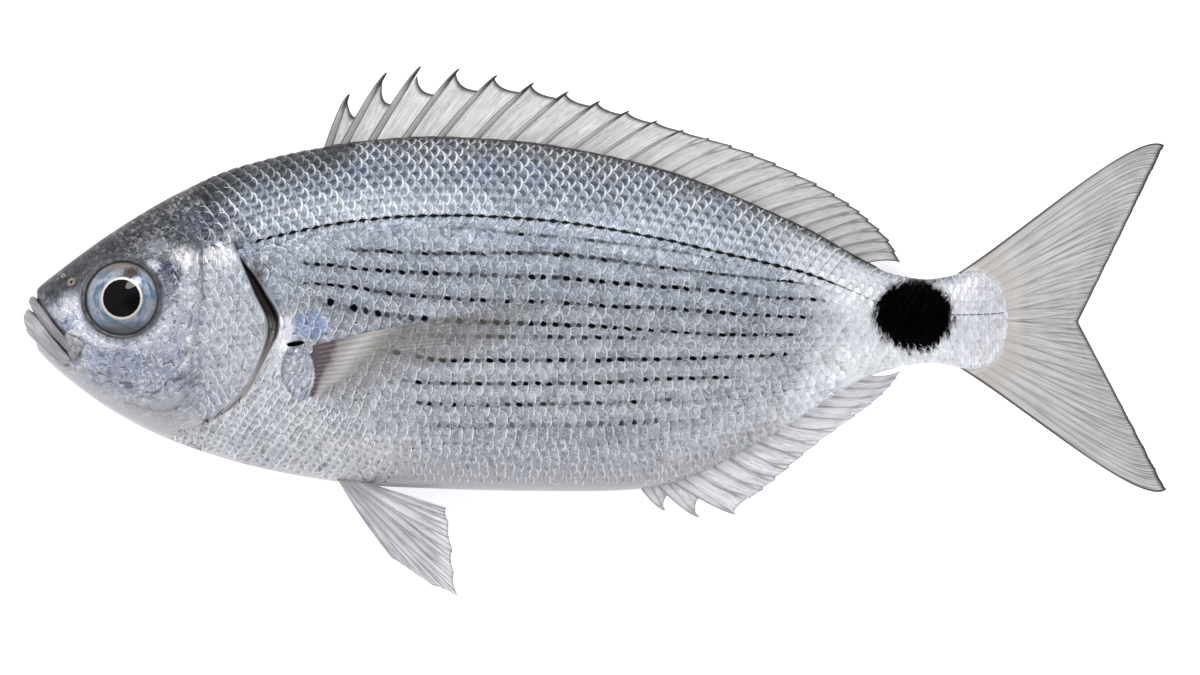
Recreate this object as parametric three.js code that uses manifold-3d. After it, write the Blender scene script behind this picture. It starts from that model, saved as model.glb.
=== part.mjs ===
// A whole raw sea bream, lying on its right flank with the left side up.
// X runs from the snout (-X) to the tail (+X), Y from the belly (-Y) to the back (+Y) and Z is up.
// The origin is the middle of the fish's bounding box, on the surface it rests on. All sizes are in mm.

import * as THREE from 'three';
import { mergeVertices } from 'three/addons/utils/BufferGeometryUtils.js';
import Module from 'manifold-3d';

// Body, without the fins
const SNOUT_X = -129;
const TAIL_ROOT_X = 94;
const MID_HEIGHT = 13.6; // of the plane between the two flanks, above the surface
const TAIL_SAG = 5.4; // how much lower that plane is at the tail tips
const SAG_START_X = 0;
const SAG_END_X = 130;
const WIDEST_LIFT = 0.07; // how far above mid depth the fish is widest, as a part of half its depth
const BACK_SHARPNESS = 1.18; // 1 gives an elliptical section, more a keeled one
const BELLY_SHARPNESS = 0.98;
const SNOUT_ROUNDING = 3;
const TAIL_ROUNDING = 5;
const BODY_STATIONS = 50;
const BODY_RING = 32;
const CUT_MARGIN = 5; // how far a cutting prism reaches past the fish on each side

// Edge of the back, edge of the belly and half the width, each at a distance along the fish
const BACK = [
  [-129, 6.8], [-126, 9.8], [-118.6, 15.6], [-110.4, 21.5], [-99.5, 28.3], [-88.7, 33.8],
  [-77.8, 37.6], [-64, 40.8], [-50, 42.6], [-33, 43.3], [-8, 41.1], [19.3, 34.7],
  [47.4, 22.9], [59, 16.5], [67.6, 12.7], [76.5, 11.5], [88.5, 14.2], [94, 14.6],
];
const BELLY = [
  [-129, -1.8], [-124, -7.1], [-118.6, -11.8], [-110.4, -17.7], [-99.5, -23.6], [-88.7, -27.7],
  [-77.8, -30.9], [-64, -33.6], [-48, -35.5], [-10, -36.6], [12, -35.9], [23.8, -32.6],
  [44.7, -21.3], [55.6, -14.1], [62.4, -10.5], [70.8, -8], [77.2, -7.5], [88.5, -9.8], [94, -10],
];
const HALF_WIDTH = [
  [-129, 3.6], [-124, 5.9], [-117, 8], [-107, 10.3], [-96, 12.2], [-84, 13.5], [-66, 14.6],
  [-45, 14.9], [-20, 14.5], [5, 13.2], [28, 10.9], [50, 7.8], [68, 5.2], [82, 3.6], [90, 1.9], [94, 0.9],
];

// Gill covers: raised plates that end at a gill slit
const COVER_RAISE = 1.4;
const COVER_BEDDING = 0.4; // how far the plates' unraised edges lie below the skin
const COVER_START_X = -116;
const COVER_FULL_X = -86;
const COVER_TOP_Y = 27;
const COVER_FULL_Y = 12;
const SLIT_DEPTH = 2.4;
const GILL_EDGE = [
  [-82.4, 22], [-79.7, 15.2], [-76.5, 7.7], [-73.8, 1.3], [-75.3, -5.7], [-80, -14.3], [-88.4, -20.5],
  [-99, -24.5],
];
const SLIT_EDGE = [[-88.4, -21.3], [-78.6, -14.6], [-73.7, -6], [-71.9, 2], [-74, 8.4], [-78.9, 15.2]];
const COVER_REAR_X = -70;
const COVER_MESH = { stations: 12, ring: 24 };
const SLIT_FLOOR_MESH = { stations: 8, ring: 16 };
const GILL_EDGE_PIECES = 14;
const SLIT_PIECES = [11, 9]; // along the cover's edge and along the slit's rear edge

// Eyes, nostrils and mouth
const EYE_X = -106.9;
const EYE_Y = 7.1;
const EYE_RADIUS = 9.5;
const EYE_HALF_THICKNESS = 4.4;
const EYE_SINK = 2.6; // how far the eyeball's middle lies below the skin
const EYE_RIM_RADIUS = 8.5;
const EYE_RIM_THICKNESS = 0.8;
const EYE_SEGMENTS = 22;
const EYE_ROWS = 8;
const EYE_RIM_SEGMENTS = 4;
const NOSTRIL_RADIUS = 0.8;
const NOSTRIL_SEGMENTS = 6;
const NOSTRIL_ROWS = 4;
const NOSTRILS = [[-118.6, 11], [-120.6, 12.2]];
const UPPER_LIP_RADIUS = 1.25;
const LOWER_LIP_RADIUS = 1.6;
const LIP_STEPS = 16;
const LIP_SEGMENTS = 4; // round a quarter of the lip
const UPPER_LIP = [
  [-127.4, 6.2, 0], [-126.7, 5.4, 2], [-124.6, 2.7, 3.9], [-121.8, -1, 5.2], [-117.4, -5.2, 5.4],
];
const LOWER_LIP = [
  [-128.3, 2.1, 0], [-127.5, 1.3, 1.9], [-125.4, -1.1, 3.5], [-122.4, -4.6, 4.2], [-118, -8.4, 3.4],
];
const MOUTH_FRONT = [[-132, 7.4], [-132, 5.7]];
const MOUTH_CORNER = [-121.4, -3];

// Fins: the thickness of a ray and the width of its front edge, at its base and tip, and the thickness of
// the skin between two rays
const SPINE_THICKNESS = [1.9, 0.8];
const RAY_THICKNESS = [1.3, 0.7];
const RAY_EDGE = [0.9, 0.5];
const WEB_THICKNESS = 0.6;
const RAY_WEB = 0.97; // how far up a soft ray the skin reaches, and up a ray of the tail and pectoral fins
const CLOSE_WEB = 0.99;
const WEB_REAR = [0.82, 0.94]; // how far up a spine the skin behind it reaches, for a low and a full web
const WEB_DIP = [0.78, 0.98]; // what the dip of the skin's edge between two spines leaves, likewise
const WEB_START = 0.33; // where that skin starts behind a spine, as a part of the spine's front edge
const WEB_DIP_PLACE = 0.4; // of the dip between one spine and the next
const RAY_BOW = 1.4;
const SPINE_BOW = 0.5;
const RAY_BEND = [[0.41, 0.67], [0.75, 0.67]]; // where the bow pulls, along the ray and as a part of it
const FIN_ROOT_DEPTH = 3; // how far the rays reach into the body
const FIN_DROOP = 1.6; // how far the fin edges hang below the mid plane
const EDGE_FIN_ROWS = 3;
const TAIL_ROWS = 6;
const PAIRED_FIN_ROWS = 4;

// Each row is a ray's number, the place of its base along the body, and its tip
const DORSAL_RAYS = [
  [0, -59.8, -55.6, 53.6], [1, -56.2, -47.1, 58.5], [2, -50.1, -39.3, 60], [3, -42.6, -30.6, 59.4],
  [5, -26.7, -13.6, 56.2], [7, -11.5, 1.4, 52], [10, 7.5, 20.4, 45.4], [13, 21.8, 36.1, 40],
  [16, 35.2, 50.5, 33.2], [18, 43.6, 58, 28.6], [20, 50.6, 62.3, 25.1], [22, 55.8, 67, 20.3],
  [24, 62.5, 69.4, 15.3],
];
const DORSAL_SPINES = 11;
const DORSAL_EDGE = [1.3, 0.4];
const DORSAL_WEB = [[1, 0.41], [2, 0.49], [3, 0.61], [5, 0.8], [8, 0.88], [11, 0.97], [24, 0.98]];
const ANAL_RAYS = [
  [0, 12.7, 16, -41], [1, 16.6, 23.8, -42.6], [2, 20.2, 32.1, -41.9], [3, 23.6, 35.6, -38.4],
  [5, 30.9, 41, -34], [8, 41.1, 50.8, -25.6], [11, 51.1, 62.9, -16.8], [13, 57.4, 67.4, -12.5],
  [15, 64, 69.4, -9.3],
];
const ANAL_SPINES = 3;
const ANAL_EDGE = [2.2, 0.4];
const ANAL_WEB = [[1, 0.36], [2, 0.48], [3, 0.93], [15, 0.98]];

const TAIL_RAYS = 17;
const TAIL_ROOT = [[0, 81, 12], [0.25, 89.5, 9.2], [0.5, 91, 2.2], [0.75, 89.5, -5], [1, 81.4, -7.8]];
const TAIL_UPPER_TIP = [129.6, 41.9];
const TAIL_FORK = [109.8, 1.8];
const TAIL_LOWER_TIP = [130, -36.3];
const TAIL_BOW = 7; // how far the outermost rays are drawn off a straight line
const TAIL_BEND = [[0.33, 0], [0.95, 1]];

const PELVIC_RAYS = [
  [-58.8, -43.8, -53], [-57.6, -36.8, -57.8], [-56, -31.1, -60.2], [-54.6, -31.9, -54.9],
  [-52.8, -32.2, -49.8], [-50.3, -33.1, -43.6], [-47.2, -33.7, -40.2],
];
const PELVIC_BOW = 2.6;
const PELVIC_OFFSET = 3.2; // of each pelvic fin's root from the mid plane
const PELVIC_SPLAY = 2.2;
const RIGHT_PELVIC_SHIFT = [-2.6, 4]; // the tips of the lower fin lie folded closer to the belly

const PECTORAL_RAYS = 13;
const PECTORAL_ROOT = [[-66.2, -4.2], [-64.6, -15]];
const PECTORAL_TIPS = [
  [0, -10.2, 6.1], [2, -17, 0.2], [4, -24, -4.2], [6, -33, -7.2], [8, -42, -9.9], [10, -50, -12.8],
  [12, -58, -15.4],
];
const PECTORAL_BOW = 2.2;
const PECTORAL_RAISE = [-1.2, 0.5]; // above the flank, at the root and clear of it
const PECTORAL_CLEAR = 0.25; // the part of its length over which it rises clear of the root
const PECTORAL_BEDDING = 0.8; // how far it is sunk in the flank

const { clamp, lerp, smoothstep } = THREE.MathUtils;

// A smooth curve through rows of [position, value, ...], for the value in one column
function smooth(rows, column = 1) {
  const last = rows.length - 1;
  const slopes = rows.map((row, i) => {
    const before = rows[Math.max(i - 1, 0)];
    const after = rows[Math.min(i + 1, last)];
    return (after[column] - before[column]) / (after[0] - before[0]);
  });
  return (position) => {
    const at = clamp(position, rows[0][0], rows[last][0]);
    const i = clamp(rows.findIndex((row) => row[0] > at) - 1, 0, last - 1);
    const start = at === rows[last][0] ? last - 1 : i;
    const span = rows[start + 1][0] - rows[start][0];
    const t = (at - rows[start][0]) / span;
    const bend = t * t * (3 - 2 * t);
    const line = lerp(rows[start][column], rows[start + 1][column], bend);
    return line + span * t * (1 - t) * ((1 - t) * slopes[start] - t * slopes[start + 1]);
  };
}

const back = smooth(BACK);
const belly = smooth(BELLY);
const halfWidth = smooth(HALF_WIDTH);

function midPlane(x) {
  const run = Math.max(x - SAG_START_X, 0) / (SAG_END_X - SAG_START_X);
  return MID_HEIGHT - TAIL_SAG * run * run;
}

// 0 at an end of the body, rising to 1 at a distance of one rounding radius from it
function endRounding(distance, radius) {
  const gap = 1 - clamp(distance / radius, 0, 1);
  return Math.sqrt(1 - gap * gap);
}

// Middle, half depth and half width of the cross-section at x
function section(x) {
  const nose = endRounding(x - SNOUT_X, SNOUT_ROUNDING);
  const tail = endRounding(TAIL_ROOT_X - x, TAIL_ROUNDING);
  return {
    middle: (back(x) + belly(x)) / 2,
    halfDepth: ((back(x) - belly(x)) / 2) * nose * tail,
    halfWidth: halfWidth(x) * nose * tail,
  };
}

// How far the flank stands off the mid plane, where up is the sine of the angle round the section
function flankReach(cut, up) {
  const side = Math.sqrt(Math.max(1 - up * up, 0));
  return cut.halfWidth * side ** (up > 0 ? BACK_SHARPNESS : BELLY_SHARPNESS);
}

// How far the flank stands off the mid plane at a place on the fish's side
function flankAt(x, y) {
  const cut = section(x);
  const share = clamp((y - cut.middle) / cut.halfDepth, -1, 1);
  const up = (1 - Math.sqrt(1 - 4 * WIDEST_LIFT * (share - WIDEST_LIFT))) / (2 * WIDEST_LIFT);
  return flankReach(cut, clamp(up, -1, 1));
}

// The closed solid of a geometry, whichever way its faces were wound
const wasm = await Module();
wasm.setup();

function solid(geometry) {
  geometry.deleteAttribute('normal');
  geometry.deleteAttribute('uv');
  const merged = mergeVertices(geometry, 1e-4);
  const place = merged.getAttribute('position');
  const corners = [];
  let volume = 0;
  for (let i = 0; i < merged.index.count; i += 3) {
    const [a, b, c] = [0, 1, 2].map((step) => merged.index.getX(i + step));
    if (a === b || b === c || c === a) continue;
    const [p, q, r] = [a, b, c].map((index) => new THREE.Vector3().fromBufferAttribute(place, index));
    volume += p.dot(q.cross(r));
    corners.push([a, b, c]);
  }
  const facing = volume > 0 ? corners : corners.map(([a, b, c]) => [a, c, b]);
  return new wasm.Manifold(new wasm.Mesh({
    numProp: 3,
    vertProperties: new Float32Array(place.array),
    triVerts: new Uint32Array(facing.flat()),
  }));
}

// Moves every vertex of a geometry to where a function of its place puts it
function reshape(geometry, placed) {
  const position = geometry.getAttribute('position');
  const uv = geometry.getAttribute('uv');
  for (let i = 0; i < position.count; i += 1) {
    const from = new THREE.Vector3().fromBufferAttribute(position, i);
    position.setXYZ(i, ...placed(from, uv.getX(i), uv.getY(i)));
  }
  return geometry;
}

// A length of the body's loft, with its flanks moved out by a raise that depends on the place
function bodyLoft({ start = SNOUT_X, end = TAIL_ROOT_X, stations, ring, raise = () => 0 }) {
  const sphere = new THREE.SphereGeometry(1, ring, stations);
  return solid(reshape(sphere, (from, u, v) => {
    const x = lerp(start, end, (1 - Math.cos(Math.PI * (1 - v))) / 2);
    const cut = section(x);
    if (v <= 0 || v >= 1) return [x, cut.middle, midPlane(x)];
    const up = Math.sin(2 * Math.PI * u);
    const side = Math.cos(2 * Math.PI * u);
    const y = cut.middle + cut.halfDepth * (up + WIDEST_LIFT * (1 - up * up));
    const reach = flankReach(cut, up) + raise(x, y) * Math.abs(side);
    return [x, y, Math.max(midPlane(x) + Math.sign(side) * reach, 0)];
  }));
}

// A prism through the whole thickness of the fish, from an outline seen from the side
function prism(outline) {
  const shape = new THREE.Shape(outline.map(([x, y]) => new THREE.Vector2(x, y)));
  const depth = 2 * (MID_HEIGHT + CUT_MARGIN);
  const geometry = new THREE.ExtrudeGeometry(shape, { depth, bevelEnabled: false });
  return solid(geometry.translate(0, 0, -CUT_MARGIN));
}

// The points of a smooth outline through a few places
function outline(places, pieces) {
  const curve = new THREE.SplineCurve(places.map(([x, y]) => new THREE.Vector2(x, y)));
  return curve.getPoints(pieces).map((point) => [point.x, point.y]);
}

function withGillCovers(body) {
  const raise = (x, y) => COVER_RAISE
    * smoothstep(x, COVER_START_X, COVER_FULL_X)
    * (1 - smoothstep(y, COVER_FULL_Y, COVER_TOP_Y)) - COVER_BEDDING;
  const edge = outline(GILL_EDGE, GILL_EDGE_PIECES);
  const front = [[COVER_START_X, edge.at(-1)[1]], [COVER_START_X, edge[0][1]]];
  const reach = { start: COVER_START_X, end: COVER_REAR_X };
  const covers = bodyLoft({ ...reach, ...COVER_MESH, raise }).intersect(prism([...edge, ...front]));
  const [before, behind] = SLIT_PIECES;
  const slit = prism([...outline(GILL_EDGE.slice(1, -1), before), ...outline(SLIT_EDGE, behind)]);
  const core = bodyLoft({ ...reach, ...SLIT_FLOOR_MESH, raise: () => -SLIT_DEPTH });
  return body.add(covers).subtract(slit).add(core);
}

// A tube along a lip, from one corner of the mouth round the snout to the other
function lip(path, radius) {
  const far = path.slice(1).reverse().map(([x, y, z]) => [x, y, -z]);
  const points = [...far, ...path].map(([x, y, z]) => new THREE.Vector3(x, y, midPlane(x) + z));
  const round = new THREE.Shape();
  round.absarc(0, 0, radius, 0, 2 * Math.PI);
  return solid(new THREE.ExtrudeGeometry(round, {
    extrudePath: new THREE.CatmullRomCurve3(points),
    steps: LIP_STEPS,
    curveSegments: LIP_SEGMENTS,
    bevelEnabled: false,
  }));
}

// An eyeball and the rim of skin round it, on one side of the head
function eye(side) {
  const ball = new THREE.SphereGeometry(EYE_RADIUS, EYE_SEGMENTS, EYE_ROWS);
  ball.rotateX(Math.PI / 2);
  ball.scale(1, 1, EYE_HALF_THICKNESS / EYE_RADIUS);
  ball.translate(0, 0, -EYE_SINK);
  const rim = new THREE.TorusGeometry(EYE_RIM_RADIUS, EYE_RIM_THICKNESS, EYE_RIM_SEGMENTS, EYE_SEGMENTS);
  const seated = [ball, rim].map((piece) => solid(reshape(piece, (from) => {
    const x = from.x + EYE_X;
    const y = from.y + EYE_Y;
    return [x, y, midPlane(x) + side * (flankAt(x, y) + from.z)];
  })));
  return seated[0].add(seated[1]);
}

function nostrils(side) {
  return NOSTRILS.map(([x, y]) => {
    const pit = new THREE.SphereGeometry(NOSTRIL_RADIUS, NOSTRIL_SEGMENTS, NOSTRIL_ROWS);
    return solid(pit.translate(x, y, midPlane(x) + side * flankAt(x, y)));
  });
}

// A ray from its base to its tip, bowed towards the head by so much. Its options are how thick and how
// wide in front it is, how far up it the skin before it reaches and whether it is a sharp spine.
function makeRay(base, tip, bow, options = {}) {
  const { bend = RAY_BEND, thickness = RAY_THICKNESS } = options;
  const { edge = RAY_EDGE, web = RAY_WEB, sharp = false } = options;
  const line = new THREE.Vector2().subVectors(tip, base);
  const rearward = new THREE.Vector2(line.y, -line.x).normalize();
  const elbows = bend.map(([along, pull]) => (
    base.clone().addScaledVector(line, along).addScaledVector(rearward, -bow * pull)
  ));
  return { path: new THREE.CubicBezierCurve(base, ...elbows, tip), rearward, thickness, edge, web, sharp };
}

// The upright lines that a fin is woven from: the front edge and ridge of each ray and, behind a spine,
// the skin's dipping edge. Each runs on a ray, or between it and the next, up to a part of its length.
function finColumns(rays, faces) {
  const columns = [];
  rays.forEach((ray, i) => {
    const next = rays[i + 1];
    if (i > 0) columns.push({ ray, set: -faces, top: ray.web });
    if (ray.sharp) columns.push({ ray, set: -faces, top: 1 });
    columns.push({ ray, ridge: true, top: 1 });
    if (!ray.sharp || !next) return;
    const rear = lerp(...WEB_REAR, next.web);
    const dip = lerp(...WEB_DIP, next.web);
    columns.push({ ray, set: faces * WEB_START, top: rear });
    columns.push({ ray, next, mix: WEB_DIP_PLACE, top: rear * dip, nextTop: next.web * dip });
  });
  return columns;
}

// A fin made of rays with skin between them. The height function places its two faces, and faces is 1
// where a ray's rearward side is on the right of the way from its base to its tip, or -1.
function fin(rays, rows, height, faces = 1) {
  const columns = finColumns(rays, faces);
  const box = new THREE.BoxGeometry(1, 1, 1, columns.length - 1, rows, 1);
  return solid(reshape(box, (from) => {
    const { ray, next, mix = 0, set = 0, ridge, top, nextTop } = columns[
      Math.round((from.x + 0.5) * (columns.length - 1))
    ];
    const along = from.y + 0.5;
    const place = ray.path.getPoint(along * top);
    if (next) place.lerp(next.path.getPoint(along * nextTop), mix);
    place.addScaledVector(ray.rearward, set * lerp(...ray.edge, along * top));
    const thick = ridge ? lerp(...ray.thickness, along) : WEB_THICKNESS;
    return [place.x, place.y, height(place.x, place.y, along, Math.sign(from.z) * thick / 2)];
  }));
}

const inMidPlane = (x, y, along, half) => midPlane(x) - FIN_DROOP * along * along + half;

// A fin whose rays stand in a row on an edge of the body
function edgeFin({ rows, webs, spines, spineEdge, edge, faces }) {
  const baseX = smooth(rows, 1);
  const tipX = smooth(rows, 2);
  const tipY = smooth(rows, 3);
  const web = smooth(webs);
  const count = rows.at(-1)[0] + 1;
  const rays = Array.from({ length: count }, (_, i) => {
    const foot = new THREE.Vector2(baseX(i), edge(baseX(i)));
    const tip = new THREE.Vector2(tipX(i), tipY(i));
    const lean = new THREE.Vector2().subVectors(tip, foot).normalize();
    const base = foot.clone().addScaledVector(lean, -FIN_ROOT_DEPTH);
    if (i >= spines) return makeRay(base, tip, faces * RAY_BOW, { web: web(i) });
    const spine = { thickness: SPINE_THICKNESS, edge: spineEdge, web: web(i), sharp: true };
    return makeRay(base, tip, faces * SPINE_BOW, spine);
  });
  return fin(rays, EDGE_FIN_ROWS, inMidPlane, faces);
}

function tailFin() {
  const rootX = smooth(TAIL_ROOT, 1);
  const rootY = smooth(TAIL_ROOT, 2);
  const rays = Array.from({ length: TAIL_RAYS }, (_, i) => {
    const turn = i / (TAIL_RAYS - 1);
    const lobe = turn < 0.5 ? TAIL_UPPER_TIP : TAIL_LOWER_TIP;
    const spread = Math.abs(1 - 2 * turn);
    const base = new THREE.Vector2(rootX(turn), rootY(turn));
    const tip = new THREE.Vector2(lerp(TAIL_FORK[0], lobe[0], spread), lerp(TAIL_FORK[1], lobe[1], spread));
    const bow = TAIL_BOW * Math.sign(0.5 - turn) * spread ** 2;
    return makeRay(base, tip, bow, { bend: TAIL_BEND, web: CLOSE_WEB });
  });
  return fin(rays, TAIL_ROWS, (x, y, along, half) => midPlane(x) + half);
}

function pelvicFin(side) {
  const shift = side > 0 ? [0, 0] : RIGHT_PELVIC_SHIFT;
  const rays = PELVIC_RAYS.map(([baseX, tipX, tipY], i) => {
    const base = new THREE.Vector2(baseX, belly(baseX) + FIN_ROOT_DEPTH);
    const tip = new THREE.Vector2(tipX + shift[0], tipY + shift[1]);
    return makeRay(base, tip, -PELVIC_BOW, i === 0 ? { thickness: SPINE_THICKNESS } : {});
  });
  const stand = (x, y, along, half) => midPlane(x) + side * (PELVIC_OFFSET + PELVIC_SPLAY * along) + half;
  return fin(rays, PAIRED_FIN_ROWS, stand, -1);
}

// The pectoral fin of the upper side lies on the flank. The lower one is pressed flat between flank and
// surface, so it leaves no relief.
function pectoralFin() {
  const tipX = smooth(PECTORAL_TIPS, 1);
  const tipY = smooth(PECTORAL_TIPS, 2);
  const rays = Array.from({ length: PECTORAL_RAYS }, (_, i) => {
    const share = i / (PECTORAL_RAYS - 1);
    const [top, bottom] = PECTORAL_ROOT;
    const base = new THREE.Vector2(lerp(top[0], bottom[0], share), lerp(top[1], bottom[1], share));
    const tip = new THREE.Vector2(tipX(i), tipY(i));
    return makeRay(base, tip, PECTORAL_BOW * (1 - share), { web: CLOSE_WEB });
  });
  return fin(rays, PAIRED_FIN_ROWS, (x, y, along, half) => {
    const flank = midPlane(x) + flankAt(x, y);
    const raise = lerp(...PECTORAL_RAISE, Math.min(along / PECTORAL_CLEAR, 1));
    return half > 0 ? flank + raise + half : flank + Math.min(raise, 0) - PECTORAL_BEDDING;
  });
}

function dorsalFin() {
  return edgeFin({
    rows: DORSAL_RAYS,
    webs: DORSAL_WEB,
    spines: DORSAL_SPINES,
    spineEdge: DORSAL_EDGE,
    edge: back,
    faces: 1,
  });
}

function analFin() {
  return edgeFin({
    rows: ANAL_RAYS,
    webs: ANAL_WEB,
    spines: ANAL_SPINES,
    spineEdge: ANAL_EDGE,
    edge: belly,
    faces: -1,
  });
}

function wholeFish() {
  const mouth = prism([MOUTH_FRONT[0], MOUTH_FRONT[1], MOUTH_CORNER]);
  const body = withGillCovers(bodyLoft({ stations: BODY_STATIONS, ring: BODY_RING }));
  const head = body.add(lip(UPPER_LIP, UPPER_LIP_RADIUS)).add(lip(LOWER_LIP, LOWER_LIP_RADIUS));
  const fins = [dorsalFin(), analFin(), tailFin(), pelvicFin(1), pelvicFin(-1), pectoralFin()];
  const pieces = [...fins, eye(1), eye(-1)];
  const joined = pieces.reduce((whole, piece) => whole.add(piece), head.subtract(mouth));
  const pitted = [...nostrils(1), ...nostrils(-1)].reduce((whole, pit) => whole.subtract(pit), joined);
  return outerBody(pitted);
}

// The largest body of a solid, without the sealed pockets and scraps that joining can leave
function outerBody(joined) {
  return joined.decompose().reduce((largest, body) => (body.volume() > largest.volume() ? body : largest));
}

function meshOf(manifold, name, material) {
  const { vertProperties, triVerts } = manifold.getMesh();
  const geometry = new THREE.BufferGeometry();
  geometry.setAttribute('position', new THREE.BufferAttribute(vertProperties, 3));
  geometry.setIndex(new THREE.BufferAttribute(triVerts, 1));
  geometry.computeVertexNormals();
  const mesh = new THREE.Mesh(geometry, material);
  mesh.name = name;
  return mesh;
}

const skin = new THREE.MeshStandardMaterial({ color: '#a7afba', roughness: 0.35, metalness: 0.5 });

const fish = new THREE.Group();
fish.add(meshOf(wholeFish(), 'fish', skin));

export default fish;
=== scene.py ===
# A whole raw sea bream that lies on its right flank: skin, scales, eyes, mouth and fins.
# Shapes are worked out in mm in the frame of the CAD part and turned to metres as they are written.
from functools import partial
import bmesh
import bpy
import numpy as np
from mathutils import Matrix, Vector, noise


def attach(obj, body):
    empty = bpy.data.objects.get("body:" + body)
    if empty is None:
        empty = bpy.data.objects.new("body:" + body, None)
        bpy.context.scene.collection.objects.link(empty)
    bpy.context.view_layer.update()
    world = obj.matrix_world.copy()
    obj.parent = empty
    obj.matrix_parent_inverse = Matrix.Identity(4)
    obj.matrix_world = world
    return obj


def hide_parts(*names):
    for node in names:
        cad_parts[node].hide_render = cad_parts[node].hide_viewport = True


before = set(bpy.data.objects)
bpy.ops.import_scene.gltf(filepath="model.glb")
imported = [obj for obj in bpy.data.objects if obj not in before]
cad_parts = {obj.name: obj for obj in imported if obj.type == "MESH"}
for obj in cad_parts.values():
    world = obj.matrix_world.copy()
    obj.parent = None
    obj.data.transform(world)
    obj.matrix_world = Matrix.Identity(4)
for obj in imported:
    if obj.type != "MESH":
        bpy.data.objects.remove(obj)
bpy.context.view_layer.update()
MM = 0.001
draw = np.random.default_rng(7)

# Body, without the fins: the same lines as the CAD part has
SNOUT_X = -129
TAIL_ROOT_X = 94
MID_HEIGHT = 13.6
TAIL_SAG = 5.4
SAG_END_X = 130
WIDEST_LIFT = 0.07
BACK_SHARPNESS = 1.18
BELLY_SHARPNESS = 0.98
SNOUT_ROUNDING = 3
TAIL_ROUNDING = 10
BED = 0.3  # how high the flank stays above the table, which leaves room for its scales
TABLE_GAP = 0.02
BACK = [
    (-129, 6.8), (-126, 9.8), (-118.6, 15.6), (-110.4, 21.5), (-99.5, 28.3), (-88.7, 33.8),
    (-77.8, 37.6), (-64, 40.8), (-50, 42.6), (-33, 43.3), (-8, 41.1), (19.3, 34.7),
    (47.4, 22.9), (59, 16.5), (67.6, 12.7), (76.5, 11.5), (88.5, 14.2), (94, 14.6),
]
BELLY = [
    (-129, -1.8), (-124, -7.1), (-118.6, -11.8), (-110.4, -17.7), (-99.5, -23.6), (-88.7, -27.7),
    (-77.8, -30.9), (-64, -33.6), (-48, -35.5), (-10, -36.6), (12, -35.9), (23.8, -32.6),
    (44.7, -21.3), (55.6, -14.1), (62.4, -10.5), (70.8, -8), (77.2, -7.5), (88.5, -9.8), (94, -10),
]
HALF_WIDTH = [
    (-129, 3.6), (-124, 5.9), (-117, 8), (-107, 10.3), (-96, 12.2), (-84, 13.5), (-66, 14.6),
    (-45, 14.9), (-20, 14.5), (5, 13.2), (28, 10.9), (50, 7.8), (68, 5.2), (82, 3.6), (90, 1.9), (94, 0.9),
]

# Head
COVER_RAISE = 1.4
GILL_EDGE = [
    (-29, -107), (-24.5, -99), (-20.5, -88.4), (-14.3, -80), (-5.7, -75.3), (1.3, -73.8),
    (7.7, -76.5), (15.2, -79.7), (22, -82.4), (34, -85),
]
SLIT_WIDTH = [
    (-29, 0.4), (-22, 1), (-16, 1.4), (-10, 1.1), (-5, 1.6), (-1, 2.7), (3, 3), (8, 2.6), (12, 1.7),
    (14.5, 0.8), (17, 0),
]
SLIT_DEPTH = 2.4
PREOPERCLE = [
    (-88.7, 16.9), (-88.4, 8.1), (-89.6, 0.6), (-90.7, -4.6), (-91.8, -13.2), (-94.4, -17.3),
    (-99.1, -18.2), (-106, -16.4),
]
LOWER_SEAM = [(-88.9, 1.3), (-88.4, -9.8), (-87.5, -14.3), (-87.2, -19.1), (-89.2, -23.1)]
MOUTH = [
    (-128.6, 5.3), (-126.8, 3.8), (-125.3, 1.8), (-123.4, -1), (-120.9, -3.8), (-118.4, -6.2),
]
LIP_LINE = [
    (-126.5, 8.1), (-124.9, 6), (-123.6, 3.4), (-121.6, 1), (-119.6, -0.9), (-118.6, -3.2),
]
JAW_PLATE = [(-119.9, -0.9), (-117.6, -1.6), (-115.4, -3.1), (-116.6, -5.3), (-118, -6.6), (-119.2, -5.4)]
EYE_X, EYE_Y = -106.8, 7.1
EYE_RADIUS = 8.75
EYE_RISE = 1.8
NOSTRILS = [(-118.4, 10.8, 0.62), (-120.4, 12.2, 0.34)]

# Scale rows: the lateral line, and the lines between the rows below it
LATERAL_LINE = [
    (-100, 9.4), (-92, 12.6), (-79.8, 18.6), (-77.1, 19.7), (-66.9, 22.2), (-56.7, 24.1), (-44.2, 25.4),
    (-32.9, 25.7), (-26, 25.6), (-7.9, 24.3), (10.2, 21.4), (28.4, 17.4), (46.5, 13.1), (54.4, 10.3),
    (58.5, 8.6), (64, 6.2), (69.2, 4.7), (78, 3.6), (86, 3.4), (94, 3.9),
]
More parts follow.
